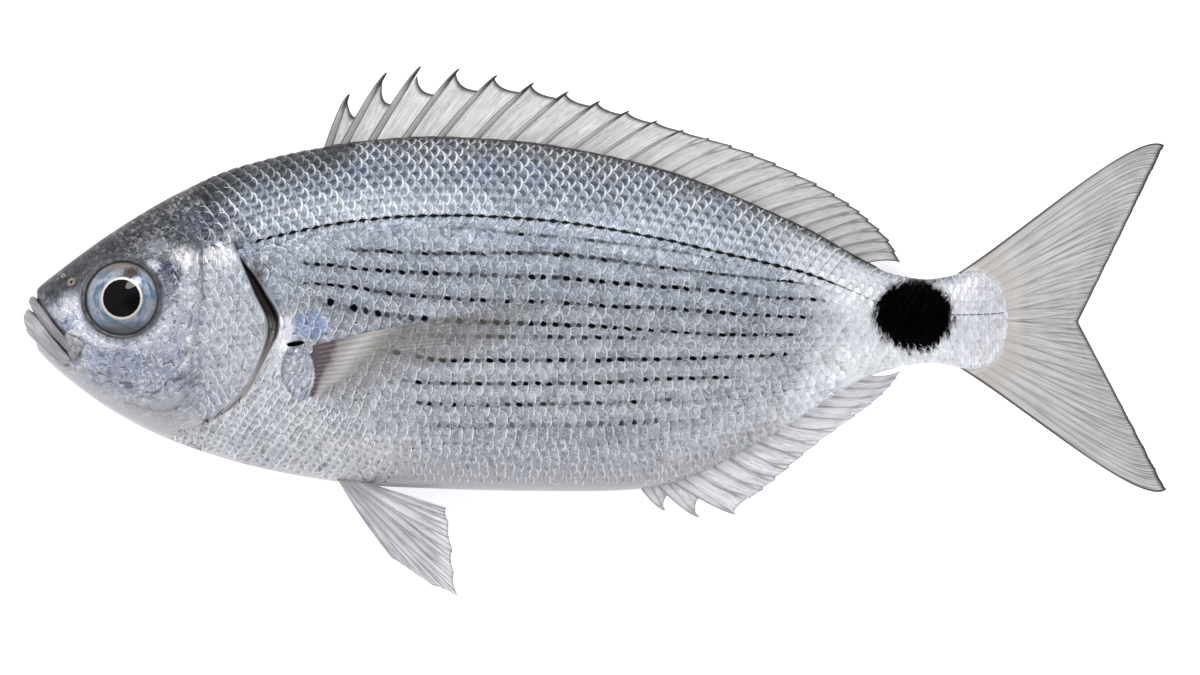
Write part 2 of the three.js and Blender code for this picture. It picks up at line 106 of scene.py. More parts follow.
# Each stripe: how dark its dots are, where it begins and ends, and its line
STRIPES = [
    (0.6, -34, 34, [(-80, 17.4), (-67, 20.4), (-57, 21.6), (-44, 22.9), (-30.4, 23.1), (-19, 21.7),
                     (-9, 21), (1.2, 19.9), (15.5, 18.1), (33.8, 15.2), (46, 12.6), (62, 7)]),
    (0.75, -58, 50, [(-80, 16.6), (-67, 18.5), (-57.1, 18.1), (-35.1, 17.2), (-20.6, 17.4), (-9, 17.1),
                    (2.5, 15.8), (14.1, 14.2), (31.3, 12.2), (48.8, 10.2), (62, 6.8)]),
    (1, -67, 53, [(-80, 15.9), (-66.9, 15.2), (-55.3, 14), (-43.7, 13.1), (-20.6, 12.2), (-9, 11.8),
                    (2.5, 10.8), (16.1, 9.7), (27.5, 8.8), (38.8, 7.4), (52, 6.7), (62, 5)]),
    (1, -67, 51, [(-80, 12.2), (-66.9, 10.8), (-55.3, 9.7), (-43.7, 8), (-32.2, 7.1), (-20.6, 6.5),
                  (-9, 6.2), (2.5, 5.4), (16.1, 4.9), (27.5, 4), (38.8, 3.2), (49.9, 2.9), (62, 1.8)]),
    (1, -64, 48, [(-80, 9.6), (-72, 8.6), (-63.5, 7.1), (-55.3, 5.1), (-47.8, 3.6), (-40.8, 2.8),
                  (-29.9, 2), (-10.2, 1.3), (2.5, 0.7), (16.1, -0.3), (27.5, -1.1), (46.3, -1), (62, -1.2)]),
    (0.62, -42, 14, [(-80, 5.6), (-72, 4.4), (-60, 2), (-50, 0.2), (-40.3, -1), (-32.2, -1.4),
                    (-9, -1.6), (11.4, -1.9), (30, -3.2), (46, -3), (62, -3)]),
    (0.95, -54, 46, [(-80, 0.6), (-72, -1), (-60, -2.6), (-52.4, -3.7), (-43.7, -5.3), (-34.4, -6.8),
                     (-17.7, -6.8), (-3.1, -6.8), (16.1, -6.5), (35, -5.9), (45.9, -5.4), (62, -4.6)]),
    (0.95, -44, 34, [(-80, -4.6), (-72, -6.2), (-60, -8.2), (-50, -10.2), (-43, -11.4), (-35.6, -12),
                     (-9, -12), (2.5, -11.8), (14.3, -11), (33.1, -10.5), (50, -8.9), (62, -6.6)]),
    (0.85, -42, 20, [(-84, -11), (-70, -12.2), (-60, -13.6), (-50, -15.5), (-35.6, -16.6), (-20.6, -16.8),
                    (-3.1, -16.6), (14.1, -15.9), (35, -14.2), (50, -12.2), (62, -8.8)]),
    (0.65, -38, 16, [(-92, -17.6), (-70, -17.8), (-50, -20.2), (-37.8, -21.3), (-17.7, -21.5),
                    (-3.1, -21.3), (14.1, -20.4), (35, -18), (50, -15.4), (62, -11.2)]),
    (0.4, -15, 14, [(-96, -21), (-70, -22), (-50, -24), (-14.7, -25), (-3.1, -25), (14.1, -23.6),
                     (35, -20.8), (50, -18), (62, -13)]),
]
BELLY_ROW = 1.9
BELLY_ROWS = 8


def smooth(rows, column=1):
    """A smooth curve through rows of (position, value, ...), for the value in one column."""
    places = np.array([row[0] for row in rows], float)
    values = np.array([row[column] for row in rows], float)
    last = len(rows) - 1
    before = np.maximum(np.arange(last + 1) - 1, 0)
    after = np.minimum(np.arange(last + 1) + 1, last)
    slopes = (values[after] - values[before]) / (places[after] - places[before])

    def curve(position):
        at = np.clip(position, places[0], places[-1])
        i = np.clip(np.searchsorted(places, at, side="right") - 1, 0, last - 1)
        span = places[i + 1] - places[i]
        t = (at - places[i]) / span
        line = values[i] + (values[i + 1] - values[i]) * t * t * (3 - 2 * t)
        return line + span * t * (1 - t) * ((1 - t) * slopes[i] - t * slopes[i + 1])

    return curve


def lerp(start, end, share):
    return start + (end - start) * share


def ease(low, high, value):
    """0 up to low, 1 from high on and smooth between."""
    t = np.clip((value - low) / (high - low), 0, 1)
    return t * t * (3 - 2 * t)


def hump(distance, width):
    """1 at no distance, falling to about 0 at twice the width."""
    return np.exp(-((distance / width) ** 2))


def line_slope(curve, x):
    return curve(x + 0.5) - curve(x - 0.5)


back, belly, half_width = smooth(BACK), smooth(BELLY), smooth(HALF_WIDTH)
gill_edge, slit_width, lateral_line = smooth(GILL_EDGE), smooth(SLIT_WIDTH), smooth(LATERAL_LINE)


def mid_plane(x):
    run = np.maximum(x, 0) / SAG_END_X
    return MID_HEIGHT - TAIL_SAG * run * run


def end_rounding(distance, radius):
    gap = 1 - np.clip(distance / radius, 0, 1)
    return np.sqrt(1 - gap * gap)


def section(x):
    """Middle, half depth and half width of the cross-section at x."""
    ends = end_rounding(x - SNOUT_X, SNOUT_ROUNDING) * end_rounding(TAIL_ROOT_X - x, TAIL_ROUNDING)
    half_depth = (back(x) - belly(x)) / 2 * ends
    return (back(x) + belly(x)) / 2, half_depth, half_width(x) * ends


def behind_gill(x, y):
    """How far a place lies behind the gill cover's edge."""
    lean = line_slope(gill_edge, y)
    return (x - gill_edge(y)) / np.sqrt(1 + lean * lean)


def cover_raise(x, y):
    """How far the gill cover stands proud of the flank."""
    gap = behind_gill(x, y)
    plate = COVER_RAISE * ease(-116, -86, x) * (1 - ease(12, 27, y))
    rounded = 1 - 0.35 * np.clip(1 + gap / 0.7, 0, 1) ** 2
    return plate * rounded * (gap < 0.02)


def flank(x, angle, side, relief=None):
    """Places on the skin. The angle is a quarter turn at the back edge, and side is -1 underneath."""
    middle, half_depth, half = section(x)
    up, out = np.sin(angle), np.cos(angle)
    y = middle + half_depth * (up + WIDEST_LIFT * (1 - up * up))
    sharp = np.where(up > 0, BACK_SHARPNESS, BELLY_SHARPNESS)
    proud = cover_raise(x, y) if relief is None else relief(x, y)
    reach = half * np.sign(out) * np.abs(out) ** sharp + proud * np.abs(out)
    return np.stack([x, y, np.maximum(mid_plane(x) + side * reach, BED)], -1)


def angle_at(x, y):
    """The angle round the section at a place on the fish's side."""
    middle, half_depth, _ = section(x)
    share = np.clip((y - middle) / half_depth, -1, 1)
    up = (1 - np.sqrt(1 - 4 * WIDEST_LIFT * (share - WIDEST_LIFT))) / (2 * WIDEST_LIFT)
    return np.arcsin(np.clip(up, -1, 1))


def raised(x, angle, side, height):
    """Places at a height above the skin, square to it."""
    along = flank(x + 0.2, angle, side) - flank(x - 0.2, angle, side)
    around = flank(x, angle + 0.01, side) - flank(x, angle - 0.01, side)
    normal = np.cross(along, around) * side
    normal /= np.maximum(np.linalg.norm(normal, axis=-1, keepdims=True), 1e-9)
    place = flank(x, angle, side) + normal * np.asarray(height)[..., None]
    place[..., 2] = np.maximum(place[..., 2], TABLE_GAP)
    return place


# Distance round the section from the lateral line, up the flank, for any place on it
MAP_X = np.linspace(-128, 93.6, 444)
MAP_ANGLE = np.linspace(-1.8, 1.8, 361)
MAP_ARC = np.linspace(-75, 45, 481)


def section_arcs():
    x, angle = np.meshgrid(MAP_X, MAP_ANGLE, indexing="ij")
    places = flank(x, angle, 1, relief=lambda *_: 0)
    steps = np.linalg.norm(np.diff(places, axis=1)[..., 1:], axis=-1)
    arcs = np.concatenate([np.zeros((len(MAP_X), 1)), np.cumsum(steps, 1)], 1)
    start = angle_at(MAP_X, lateral_line(MAP_X))
    from_line = np.array([row - np.interp(at, MAP_ANGLE, row) for row, at in zip(arcs, start)])
    return from_line, np.array([np.interp(MAP_ARC, row, MAP_ANGLE) for row in from_line])


ARC_MAP, ANGLE_MAP = section_arcs()


def look_up(table, rows, columns, x, value):
    """Reads a table between its rows and columns, which are evenly spaced."""
    i = np.clip((x - rows[0]) / (rows[1] - rows[0]), 0, len(rows) - 1.001)
    j = np.clip((value - columns[0]) / (columns[1] - columns[0]), 0, len(columns) - 1.001)
    i0, j0 = i.astype(int), j.astype(int)
    a, b = i - i0, j - j0
    near = lerp(table[i0, j0], table[i0, j0 + 1], b)
    return lerp(near, lerp(table[i0 + 1, j0], table[i0 + 1, j0 + 1], b), a)


def arc_at(x, y):
    return look_up(ARC_MAP, MAP_X, MAP_ANGLE, x, angle_at(x, y))


def angle_of(x, arc):
    return look_up(ANGLE_MAP, MAP_X, MAP_ARC, x, arc)


def y_of(x, arc):
    return flank(x, angle_of(x, arc), 1)[..., 1]


def edge_arc(x, edge):
    """Distance round the section from the lateral line to the edge of the back (1) or belly (-1)."""
    return look_up(ARC_MAP, MAP_X, MAP_ANGLE, x, np.full(len(x), edge * np.pi / 2))


def distance_to(path, x, y):
    """Distance to a smooth line through a few places, and which side of it a place is on."""
    count = len(path) - 1
    keys = np.arange(count + 1)
    t = np.linspace(0, count, 6 * count + 1)
    line = np.stack([smooth(list(zip(keys, [p[k] for p in path])))(t) for k in (0, 1)], -1)
    best, turn = np.full(np.shape(x), 1e9), np.zeros(np.shape(x))
    for start, end in zip(line[:-1], line[1:]):
        along = end - start
        share = np.clip(((x - start[0]) * along[0] + (y - start[1]) * along[1]) / (along @ along), 0, 1)
        dx, dy = x - start[0] - share * along[0], y - start[1] - share * along[1]
        gap = np.hypot(dx, dy)
        nearer = gap < best
        best = np.where(nearer, gap, best)
        turn = np.where(nearer, np.sign(along[0] * dy - along[1] * dx), turn)
    return best, turn


def grain(x, y, size, stretch=1.0, lean=0.0, seed=0.0):
    """Smooth noise from -1 to 1 with bumps of a size in mm, drawn out along a leaning direction."""
    u = (x * np.cos(lean) + y * np.sin(lean)) / (size * stretch)
    v = (y * np.cos(lean) - x * np.sin(lean)) / size
    flat = [noise.noise(Vector((a, b, seed))) for a, b in zip(np.ravel(u), np.ravel(v))]
    return np.reshape(flat, np.shape(x))


# Making and finishing pieces
def new_piece(name, mesh, material):
    piece = bpy.data.objects.new(name, mesh)
    bpy.context.scene.collection.objects.link(piece)
    mesh.materials.clear()
    mesh.materials.append(material)
    mesh.shade_smooth()
    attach(piece, "root")
    return piece


def give(mesh, name, values):
    """Writes a number or a colour for each vertex."""
    values = np.asarray(values, np.float32)
    if values.ndim == 1:
        mesh.attributes.new(name, "FLOAT", "POINT").data.foreach_set("value", values)
        return
    rows = np.concatenate([values, np.ones((len(values), 1), np.float32)], 1)
    mesh.attributes.new(name, "FLOAT_COLOR", "POINT").data.foreach_set("color", rows.ravel())


def place_vertices(mesh, places):
    mesh.vertices.foreach_set("co", (places * MM).astype(np.float32).ravel())
    mesh.update()


def grid_mesh(name, columns, rows):
    """A flat sheet of quads, with the place of each vertex across it and up it, from 0 to 1."""
    bm = bmesh.new()
    bm.loops.layers.uv.new("UVMap")
    bmesh.ops.create_grid(bm, x_segments=columns, y_segments=rows, size=1, calc_uvs=True)
    across = np.array([(v.co.x + 1) / 2 for v in bm.verts])
    up = np.array([(v.co.y + 1) / 2 for v in bm.verts])
    mesh = bpy.data.meshes.new(name)
    bm.to_mesh(mesh)
    bm.free()
    return mesh, across, up


def ball_mesh(name, around, stations):
    """A ball of radius 1, with the place of each vertex on it."""
    bm = bmesh.new()
    bmesh.ops.create_uvsphere(bm, u_segments=around, v_segments=stations, radius=1)
    ball = np.array([vert.co[:] for vert in bm.verts])
    mesh = bpy.data.meshes.new(name)
    bm.to_mesh(mesh)
    bm.free()
    return mesh, ball


def joined(name, parts):
    """One mesh in place of several."""
    bm = bmesh.new()
    for part in parts:
        bm.from_mesh(part)
    whole = bpy.data.meshes.new(name)
    bm.to_mesh(whole)
    bm.free()
    for part in set(parts):
        bpy.data.meshes.remove(part)
    return whole


def close_seams(mesh):
    """Joins the vertices that meet, drops faces of no area and turns the rest outwards."""
    bm = bmesh.new()
    bm.from_mesh(mesh)
    bmesh.ops.remove_doubles(bm, verts=bm.verts, dist=2e-6)
    bmesh.ops.dissolve_degenerate(bm, edges=bm.edges, dist=1e-6)
    bmesh.ops.recalc_face_normals(bm, faces=bm.faces)
    bm.to_mesh(mesh)
    bm.free()


def set_uv(mesh, u, v):
    """Writes the UV map from a pair of numbers for each vertex."""
    corners = np.empty(len(mesh.loops), int)
    mesh.loops.foreach_get("vertex_index", corners)
    both = np.stack([u[corners], v[corners]], -1).astype(np.float32)
    mesh.uv_layers["UVMap"].data.foreach_set("uv", both.ravel())


def linear(code):
    """The linear red, green and blue of an sRGB colour."""
    values = np.array([int(code[i:i + 2], 16) for i in (0, 2, 4)]) / 255
    return np.where(values <= 0.04045, values / 12.92, ((values + 0.055) / 1.055) ** 2.4)


def shades(stops, value):
    """A colour for each value, between stops of (value, colour)."""
    at = [stop[0] for stop in stops]
    colours = np.array([linear(stop[1]) for stop in stops])
    return np.stack([np.interp(value, at, colours[:, k]) for k in range(3)], -1)


def tinted(base, code, share):
    return lerp(base, linear(code), np.asarray(share)[..., None])


def patch(x, y, centre, radii, soft=0.35):
    """1 in an ellipse and 0 outside it, with a soft edge."""
    gap = np.hypot((x - centre[0]) / radii[0], (y - centre[1]) / radii[1])
    return 1 - ease(1 - soft, 1 + soft, gap)


# Colours of the skin from belly to back
FLANK_SHADES = [
    (0, "9f9ea2"), (0.08, "a09fa5"), (0.2, "9a9ba2"), (0.34, "a4a5ac"), (0.48, "969aa3"),
    (0.6, "8a919c"), (0.74, "8a929f"), (0.84, "8d96a3"), (0.93, "7b8390"), (0.975, "53585f"), (1, "303338"),
]
HEAD_SHADES = [
    (0, "a8a8ab"), (0.12, "a4a4a9"), (0.3, "a1a3ad"), (0.5, "a9aab5"), (0.62, "a5a7b2"),
    (0.7, "696c77"), (0.77, "363940"), (0.93, "27292e"), (1, "1c1e20"),
]

# Patches on the cheek, the first ones lowest: colour, strength, centre, radii and softness of the edge
CHEEK_PATCHES = [
    ("7e8398", 0.52, (-104, -9.5), (10, 4.6), 0.5),
    ("b0b0b6", 0.7, (-91.3, 7), (2.2, 10.5), 0.4),
    # The next three are painted highlights of the silvery foil, behind and above the eye
    ("cbc9c7", 0.85, (-92.2, 15.8), (4.2, 1.7), 0.5),
    ("c9c7c8", 0.8, (-84.8, 16.6), (3, 2), 0.5),
    ("a5a9b4", 0.3, (-98.6, 18.8), (3.6, 1.4), 0.5),
    ("25282c", 0.9, (-92.4, 20.8), (4.6, 1.5), 0.4),
    ("505b7c", 0.25, (-85.5, 24), (8, 4), 0.8),
    ("232842", 0.95, (-96.6, 12.2), (3.4, 4), 0.35),
    ("6d6f7c", 0.8, (-95.6, 8), (1.9, 2.6), 0.4),
    # A painted highlight of the foil close to the eye
    ("c9cbd3", 0.6, (-100.5, 14.8), (1.4, 1), 0.4),
    ("cfcfd5", 0.7, (-118.2, 4), (3, 4), 0.4),
    ("6e7794", 0.7, (-120.6, 1.2), (2.6, 1.8), 0.4),
]
# Black spot on the tail's stalk
SPOT_CENTRE = (72.2, 3.3)
SPOT_RADII = (9.5, 8.5)


def on_shoulder(x, y):
    """1 on the creased skin without scales just behind the gill cover."""
    return patch(x, y, (-71.6, -4.5), (4, 8), 0.25) * (behind_gill(x, y) > 0)


def nape_shade(x, y):
    """1 along the ridge of the back between the head and the fin, where painted shade darkens the skin."""
    return (1 - ease(3, 8.5, back(x) - y)) * ease(-90, -84, x) * (1 - ease(-60, -50, x))


def from_spot(x, y):
    """How far a place is from the middle of the black spot: 1 at its edge."""
    return np.hypot((x - SPOT_CENTRE[0]) / SPOT_RADII[0], (y - SPOT_CENTRE[1]) / SPOT_RADII[1])


def skin_tint(x, y, ragged=0.0):
    """The colour of the skin at a place on the fish's side."""
    up = np.clip((y - belly(x)) / (back(x) - belly(x)) + 0.6 * ragged * (x < -80), 0, 1)
    head = 1 - ease(-88, -76, x - 0.2 * np.maximum(y - 8, 0) + 0.6 * np.maximum(y - 22, 0))
    tint = lerp(shades(FLANK_SHADES, up), shades(HEAD_SHADES, up), head[..., None])
    tint = tinted(tint, "bcc2cb", 0.35 * ease(0.78, 0.85, up) * (1 - ease(0.93, 0.98, up)) * ease(-5, 30, x))
    # A darker patch painted on the upper flank to tone down the top lamp's highlight there
    tint = tinted(tint, "6c7584", 0.7 * patch(x, y, (-17, 30), (26, 6), 0.6))
    tint = tinted(tint, "6c7482", 0.45 * patch(x, y, (-66, 30), (14, 7), 0.6))
    # Painted shade along the ridge of the nape
    tint = tinted(tint, "24282e", 0.84 * nape_shade(x, y))
    tint = tinted(tint, "8a8b92", 0.4 * patch(x, y, (-12, -27), (24, 5), 0.6))
    # Gill cover, shoulder and breast, in patches with ragged edges
    bend = np.where(x < -60, ragged, 0)
    u, v = x + 16 * bend, y - 12 * bend
    tint = tinted(tint, "c6c8ce", 0.6 * patch(u, v, (-82, 1), (7, 17), 0.4) * (behind_gill(x, y) < 0))
    tint = tinted(tint, "d2d1d4", 0.8 * on_shoulder(x, y))
    tint = tinted(tint, "ffffff", patch(u, v, (-70, -0.8), (2.4, 4.2)))
    breast = patch(x, y, (-78, -18), (16, 9), 0.6) * (x > -92) * (behind_gill(x, y) > 0)
    tint = tinted(tint, "d6d7db", 0.8 * breast)
    tint = tinted(tint, "cececf", 0.6 * patch(x, y, (-58, -26), (14, 8), 0.6))
    # Painted shade beside the upper end of the gill slit
    tint = tinted(tint, "5d544e", 0.7 * patch(u, v, (-76.2, 12.6), (2.2, 4), 0.6))
    tint = tinted(tint, "7c90c2", 0.75 * patch(u, v, (-64.2, 0.9), (4, 3)))
    # Painted shade behind the lobe at the pectoral fin's base
    tint = tinted(tint, "54474e", patch(u, v, (-61.6, -9.2), (2.2, 5.8), 0.4))
    # Cheek: painted highlights of the silvery foil round the eye and towards the gill cover, with dark blue
    # behind the eye
    ring = np.hypot(u - EYE_X, v - EYE_Y)
    tint = tinted(tint, "d0d1d8", 0.7 * hump(ring - 11, 1.3) * (1 - ease(2, 9, y)))
    for code, share, centre, radii, soft in CHEEK_PATCHES:
        tint = tinted(tint, code, share * patch(u, v, centre, radii, soft))
    # Stalk and root of the tail, with its black spot
    tint = tinted(tint, "dcdde1", ease(46, 60, x + 0.5 * np.abs(y - 1)) * (1 - ease(0.86, 1, up)))
    tint = tinted(tint, "e4e2e8", 0.8 * ease(80, 84, x))
    return tinted(tint, "040405", 1 - ease(0.9, 1.06, from_spot(x, y) + ragged))


# Skin of head and body, one closed surface with the gill slits cut into it
SKIN_RING = 256
SKIN_STATIONS = 320
STATION_DENSITY = [
    (-129, 9), (-127.5, 3), (-126, 2.2), (-77, 2.2), (-75.6, 6), (-70.5, 6), (-68, 1.4), (-50, 0.9),
    (80, 0.8), (92, 1.6), (94, 9),
]
GILL_X = -73.8
EYE_SOCKET = 1.9
SOCKET_EDGE = (8.25, 9.05)  # radii between which the skin sinks into the socket
EYE_RIDGE_RADIUS = 9.8
MOUTH_DEPTH = 1.5
CHEEK_EDGE_RISE = 0.3
SEAM_DEPTH = 0.28


def skin_relief(x, y):
    """Relief of the bare skin, mostly on the head, in mm."""
    gap, width = behind_gill(x, y), slit_width(y)
    slit = SLIT_DEPTH * lerp(0.22, 1, ease(-6, 4, y)) * np.sqrt(width / 2.3)
    slit = slit * (1 - ease(0.5 * width, width + 0.1, gap)) * (gap >= 0.02)
    relief = cover_raise(x, y) - slit
    relief -= MOUTH_DEPTH * (1 - ease(1.6, 3, distance_to(MOUTH, x, y)[0]))
    eye = np.hypot(x - EYE_X, y - EYE_Y)
    relief += 0.5 * hump(eye - EYE_RIDGE_RADIUS, 0.8) - EYE_SOCKET * (1 - ease(*SOCKET_EDGE, eye))
    edge, turn = distance_to(PREOPERCLE, x, y)
    rise = CHEEK_EDGE_RISE * hump(edge - 1, 0.9) + 0.2 * (1 - ease(1, 6, edge))
    relief += rise * (turn < 0) * (x < -84)
    relief -= 0.22 * hump(edge, 0.35)
    relief -= SEAM_DEPTH * hump(distance_to(LOWER_SEAM, x, y)[0], 0.3)
    for nose_x, nose_y, radius in NOSTRILS:
        hole = np.hypot(x - nose_x, y - nose_y)
        relief += 0.15 * hump(hole - 2 * radius, radius) - 0.7 * hump(hole, 0.7 * radius)
    return relief


def foil_share(x, y):
    """How crinkled and silvery the skin is: the cheeks and gill covers are, the crown and chin aren't."""
    up = (y - belly(x)) / (back(x) - belly(x))
    crown = ease(0.6, 0.75, up) * (0.65 - 0.4 * ease(-112, -98, x))
    cheek = ease(0.02, 0.2, up) * (1 - crown) * (1 - ease(-79, -74, x))
    return np.maximum(cheek, on_shoulder(x, y))


def skin_piece(material):
    mesh, ball = ball_mesh("skin", SKIN_RING, SKIN_STATIONS)
    fine = np.linspace(SNOUT_X, TAIL_ROOT_X, 4000)
    crowd = np.interp(fine, *zip(*STATION_DENSITY))
    run = np.cumsum(crowd) - crowd[0]
    share = np.arccos(np.clip(ball[:, 2], -1, 1)) / np.pi
    station = np.interp(share, run / run[-1], fine)
    turn = np.arctan2(ball[:, 1], ball[:, 0])
    side = np.where(np.cos(turn) < 0, -1, 1)
    bend = np.linspace(-np.pi / 2, np.pi / 2, 721)
    walked = np.cumsum(np.hypot(np.cos(bend), 0.4 * np.sin(bend)))
    angle = np.interp(np.arcsin(np.sin(turn)), bend[0] + np.pi * (walked - walked[0]) / np.ptp(walked), bend)
    pull = ease(SNOUT_X, GILL_X, station) * (1 - ease(GILL_X, -20, station))
    x = station
    for _ in range(6):
        y = flank(x, angle, 1)[..., 1]
        x = station + pull * (gill_edge(y) - GILL_X)
    x = np.where((share <= 0) | (share >= 1), station, x)
    y = flank(x, angle, 1)[..., 1]
    snout_push = 1.5 * (1 - ease(-129.1, -124, x)) * (1 - ease(7, 9.5, y)) * ease(-5, -1, y)
    crinkle = np.zeros(len(x))
    head = np.flatnonzero(x < -66)
    u, v = x[head], y[head] + 300 * (side[head] < 0)
    rough = grain(u, v, 1.5, 1.8, 0.9, 3) + 0.6 * grain(u, v, 0.8, 1.5, -0.6, 9)
    crinkle[head] = rough * (0.035 + 0.1 * foil_share(x[head], y[head]))
    places = flank(x, angle, side, lambda *place: skin_relief(*place) + crinkle)
    places[:, 0] += snout_push
    place_vertices(mesh, places)
    close_seams(mesh)
    co = np.empty(3 * len(mesh.vertices), np.float32)
    mesh.vertices.foreach_get("co", co)
    x, y = co.reshape(-1, 3)[:, 0] / MM, co.reshape(-1, 3)[:, 1] / MM
    # Painted shade in the gill slit, the mouth and the head's grooves: the edge of the front gill plate, the
    # lower seam, round the eye, the lip line and round the jaw plate
    gap, width = behind_gill(x, y), slit_width(y)
    slit = ease(0.02, 0.12, gap) * (1 - ease(0.75 * width, width + 0.1, gap)) * ease(0, 0.2, width)
    edge, _ = distance_to(PREOPERCLE, x, y)
    seam, _ = distance_to(LOWER_SEAM, x, y)
    crease_shade = np.maximum(0.4 * hump(edge, 0.5), 0.6 * hump(seam, 0.4))
    crease_shade = np.maximum(crease_shade, 0.8 * hump(np.hypot(x - EYE_X, y - EYE_Y) - 9.2, 0.7))
    mouth = distance_to(MOUTH, x, y)[0]
    crease_shade = np.maximum(crease_shade, 0.9 * hump(distance_to(LIP_LINE, x, y)[0], 0.5))
    crease_shade = np.maximum(crease_shade, 0.7 * hump(distance_to(JAW_PLATE + JAW_PLATE[:1], x, y)[0], 0.35))
    slit = np.maximum(slit, 1 - ease(0.7, 1.3, mouth))
    give(mesh, "tint", skin_tint(x, y, 0.09 * grain(x, y, 4.5, 2, 0.6) + 0.06 * grain(x, y, 1.3, 2, 0.6)))
    give(mesh, "slit", slit)
    give(mesh, "low", 1 - ease(-15, 5, y))
    give(mesh, "crease_shade", crease_shade)
    give(mesh, "foil", foil_share(x, y))
    return new_piece("skin", mesh, material)


# Scales: thin overlapping plates, each with its front edge under the skin
ROW_ABOVE = 2.09
PITCH = smooth([(-100, 1.8), (-90, 2.1), (-78, 2.5), (-62, 2.65), (30, 2.65), (50, 2.4), (64, 2), (94, 1.7)])
SCALE_COLUMNS = np.array([0, 0.42, 0.7, 0.88, 1, 1])
TAIL_PATCH_X = 57
ROWS_MEET = 0.53  # how far from its middle the next row begins to cover a scale


def row_places(start, end, phase, share=1.0):
    """Places along a row of scales, one pitch apart."""
    fine = np.linspace(start, end, 1500)
    run = np.concatenate([[0], np.cumsum(np.diff(fine) / (share * PITCH(fine[1:])))])
    return np.interp(np.arange(phase, run[-1], 1), run, fine)


def bed(x, y, arc, slope, pitch, half, **extra):
    """A table of scales, one entry each in every column."""
    made = {"x": x, "y": y, "arc": arc, "slope": slope, "pitch": pitch, "half": half}
    made.update({"stray": 0.4, "lift": 1, "above": 0, "below": 0, "mid": 0, "core": 0, "rim": 0.5, **extra})
    return {key: np.broadcast_to(np.asarray(value, float), np.shape(x)) for key, value in made.items()}


def upper_beds():
    """The lateral line and the rows above it, up to the ridge of the back."""
    for row in range(13):
        x = row_places(-100, TAIL_PATCH_X, 0.5 * (row % 2))
        arc = np.full(len(x), row * ROW_ABOVE)
        y = y_of(x, arc)
        keep = (arc < edge_arc(x, 1) + 0.8) & ((x > -78.5) | (y > 20.5)) & (behind_gill(x, y) > -15)
        x, y, arc = x[keep], y[keep], arc[keep]
        fade = ease(-96, -83, x)
        core = (0.5 + 0.5 * ease(0, 5, arc)) * fade * (1 - 0.5 * ease(30, TAIL_PATCH_X, x))
        dots = (1 - 0.55 * ease(50, 56, x)) * (row == 0) * (x > -80)
        # The painted highlights on the rear edges are dimmed in the painted shade along the nape
        yield bed(x, y, arc, line_slope(lateral_line, x), PITCH(x), np.full(len(x), 1.1 * ROW_ABOVE),
                  lift=0.2 + 0.9 * fade, core=core, rim=(0.25 + 0.75 * fade) * (1 - 0.5 * nape_shade(x, y)),
                  mid=dots, stray=0.25)


def ink_along(stripe, x):
    """How dark a stripe's dots are: they fade at its ends and come and go between them."""
    strength, start, end = stripe
    come_and_go = 0.97 + 0.5 * grain(x, 31 * strength + start + 0 * x, 5)
    return strength * ease(start - 4, start + 4, x) * (1 - ease(end - 6, end + 2, x)) * come_and_go


def lower_beds():
    """The rows between the dotted stripes, mostly two to a stripe, and on down to the belly."""
    curves = [lambda x: lateral_line(x) - 1.1] + [smooth(stripe[3]) for stripe in STRIPES]
    inks = [(0, 0, 0)] + [stripe[:3] for stripe in STRIPES]
    rows = []
    for k in range(len(STRIPES)):
        parts = round(float(curves[k](-20) - curves[k + 1](-20)) / 2.3)
        rows += [(k, part / parts, (part + 1) / parts) for part in range(parts)]
    rows += [(len(STRIPES) + k, 0, 1) for k in range(BELLY_ROWS)]
    for number, (k, start, end) in enumerate(rows):
        low = min(max(k - 8, 0) / 7, 1)
        share = 1 - 0.3 * low
        x = row_places(-99, TAIL_PATCH_X, 0.5 * (number % 2), share)
        upper = curves[min(k, len(STRIPES))]
        above, below = 0 * x, 0 * x
        if k < len(STRIPES):
            spans = arc_at(x, upper(x)), arc_at(x, curves[k + 1](x))
            slope = line_slope(lambda at: (upper(at) + curves[k + 1](at)) / 2, x)
            above = ink_along(inks[k], x) * (start == 0)
            below = ink_along(inks[k + 1], x) * (end == 1) * (0.8 if k < 2 else 0.4)
        else:
            spans = [arc_at(x, upper(x)) - BELLY_ROW * (k - len(STRIPES) + step) for step in (0, 1)]
            slope = line_slope(upper, x)
        arc = lerp(spans[0], spans[1], (start + end) / 2)
        half = 0.95 * (spans[0] - spans[1]) * (end - start)
        y = y_of(x, arc)
        roof = arc_at(x, lateral_line(x)) - 1.2
        clear = slit_width(y) + np.where(y > -10, 1.1, 0.4)
        keep = (half > 0.6) & (arc > edge_arc(x, -1) + 0.5) & (behind_gill(x, y) > clear) & (arc < roof)
        keep &= (on_breast(x, y) < -1) & (on_shoulder(x, y) < 0.5)
        bare = ease(-60, -48, x) * (1 - ease(2, 16, x)) * (1 - ease(1.4, 2.8, y - belly(x)))
        scaled = 1 - bare[keep]
        yield bed(x[keep], y[keep], arc[keep], slope[keep], share * PITCH(x[keep]), half[keep],
                  above=above[keep], below=below[keep], core=(0.1 + 0.25 * low) * lerp(0.3, 1, scaled),
                  rim=(0.74 - 0.02 * low) * lerp(0.1, 1, scaled),
                  lift=(0.95 - 0.35 * low) * lerp(0.6, 1, scaled), stray=1 - 0.5 * low)


def on_breast(x, y):
    """How far in mm a place is inside the breast, which has its own small slanted scales."""
    return np.minimum(-58 - x - 0.55 * (y + 10), -9 - 0.47 * (x + 79) - y)


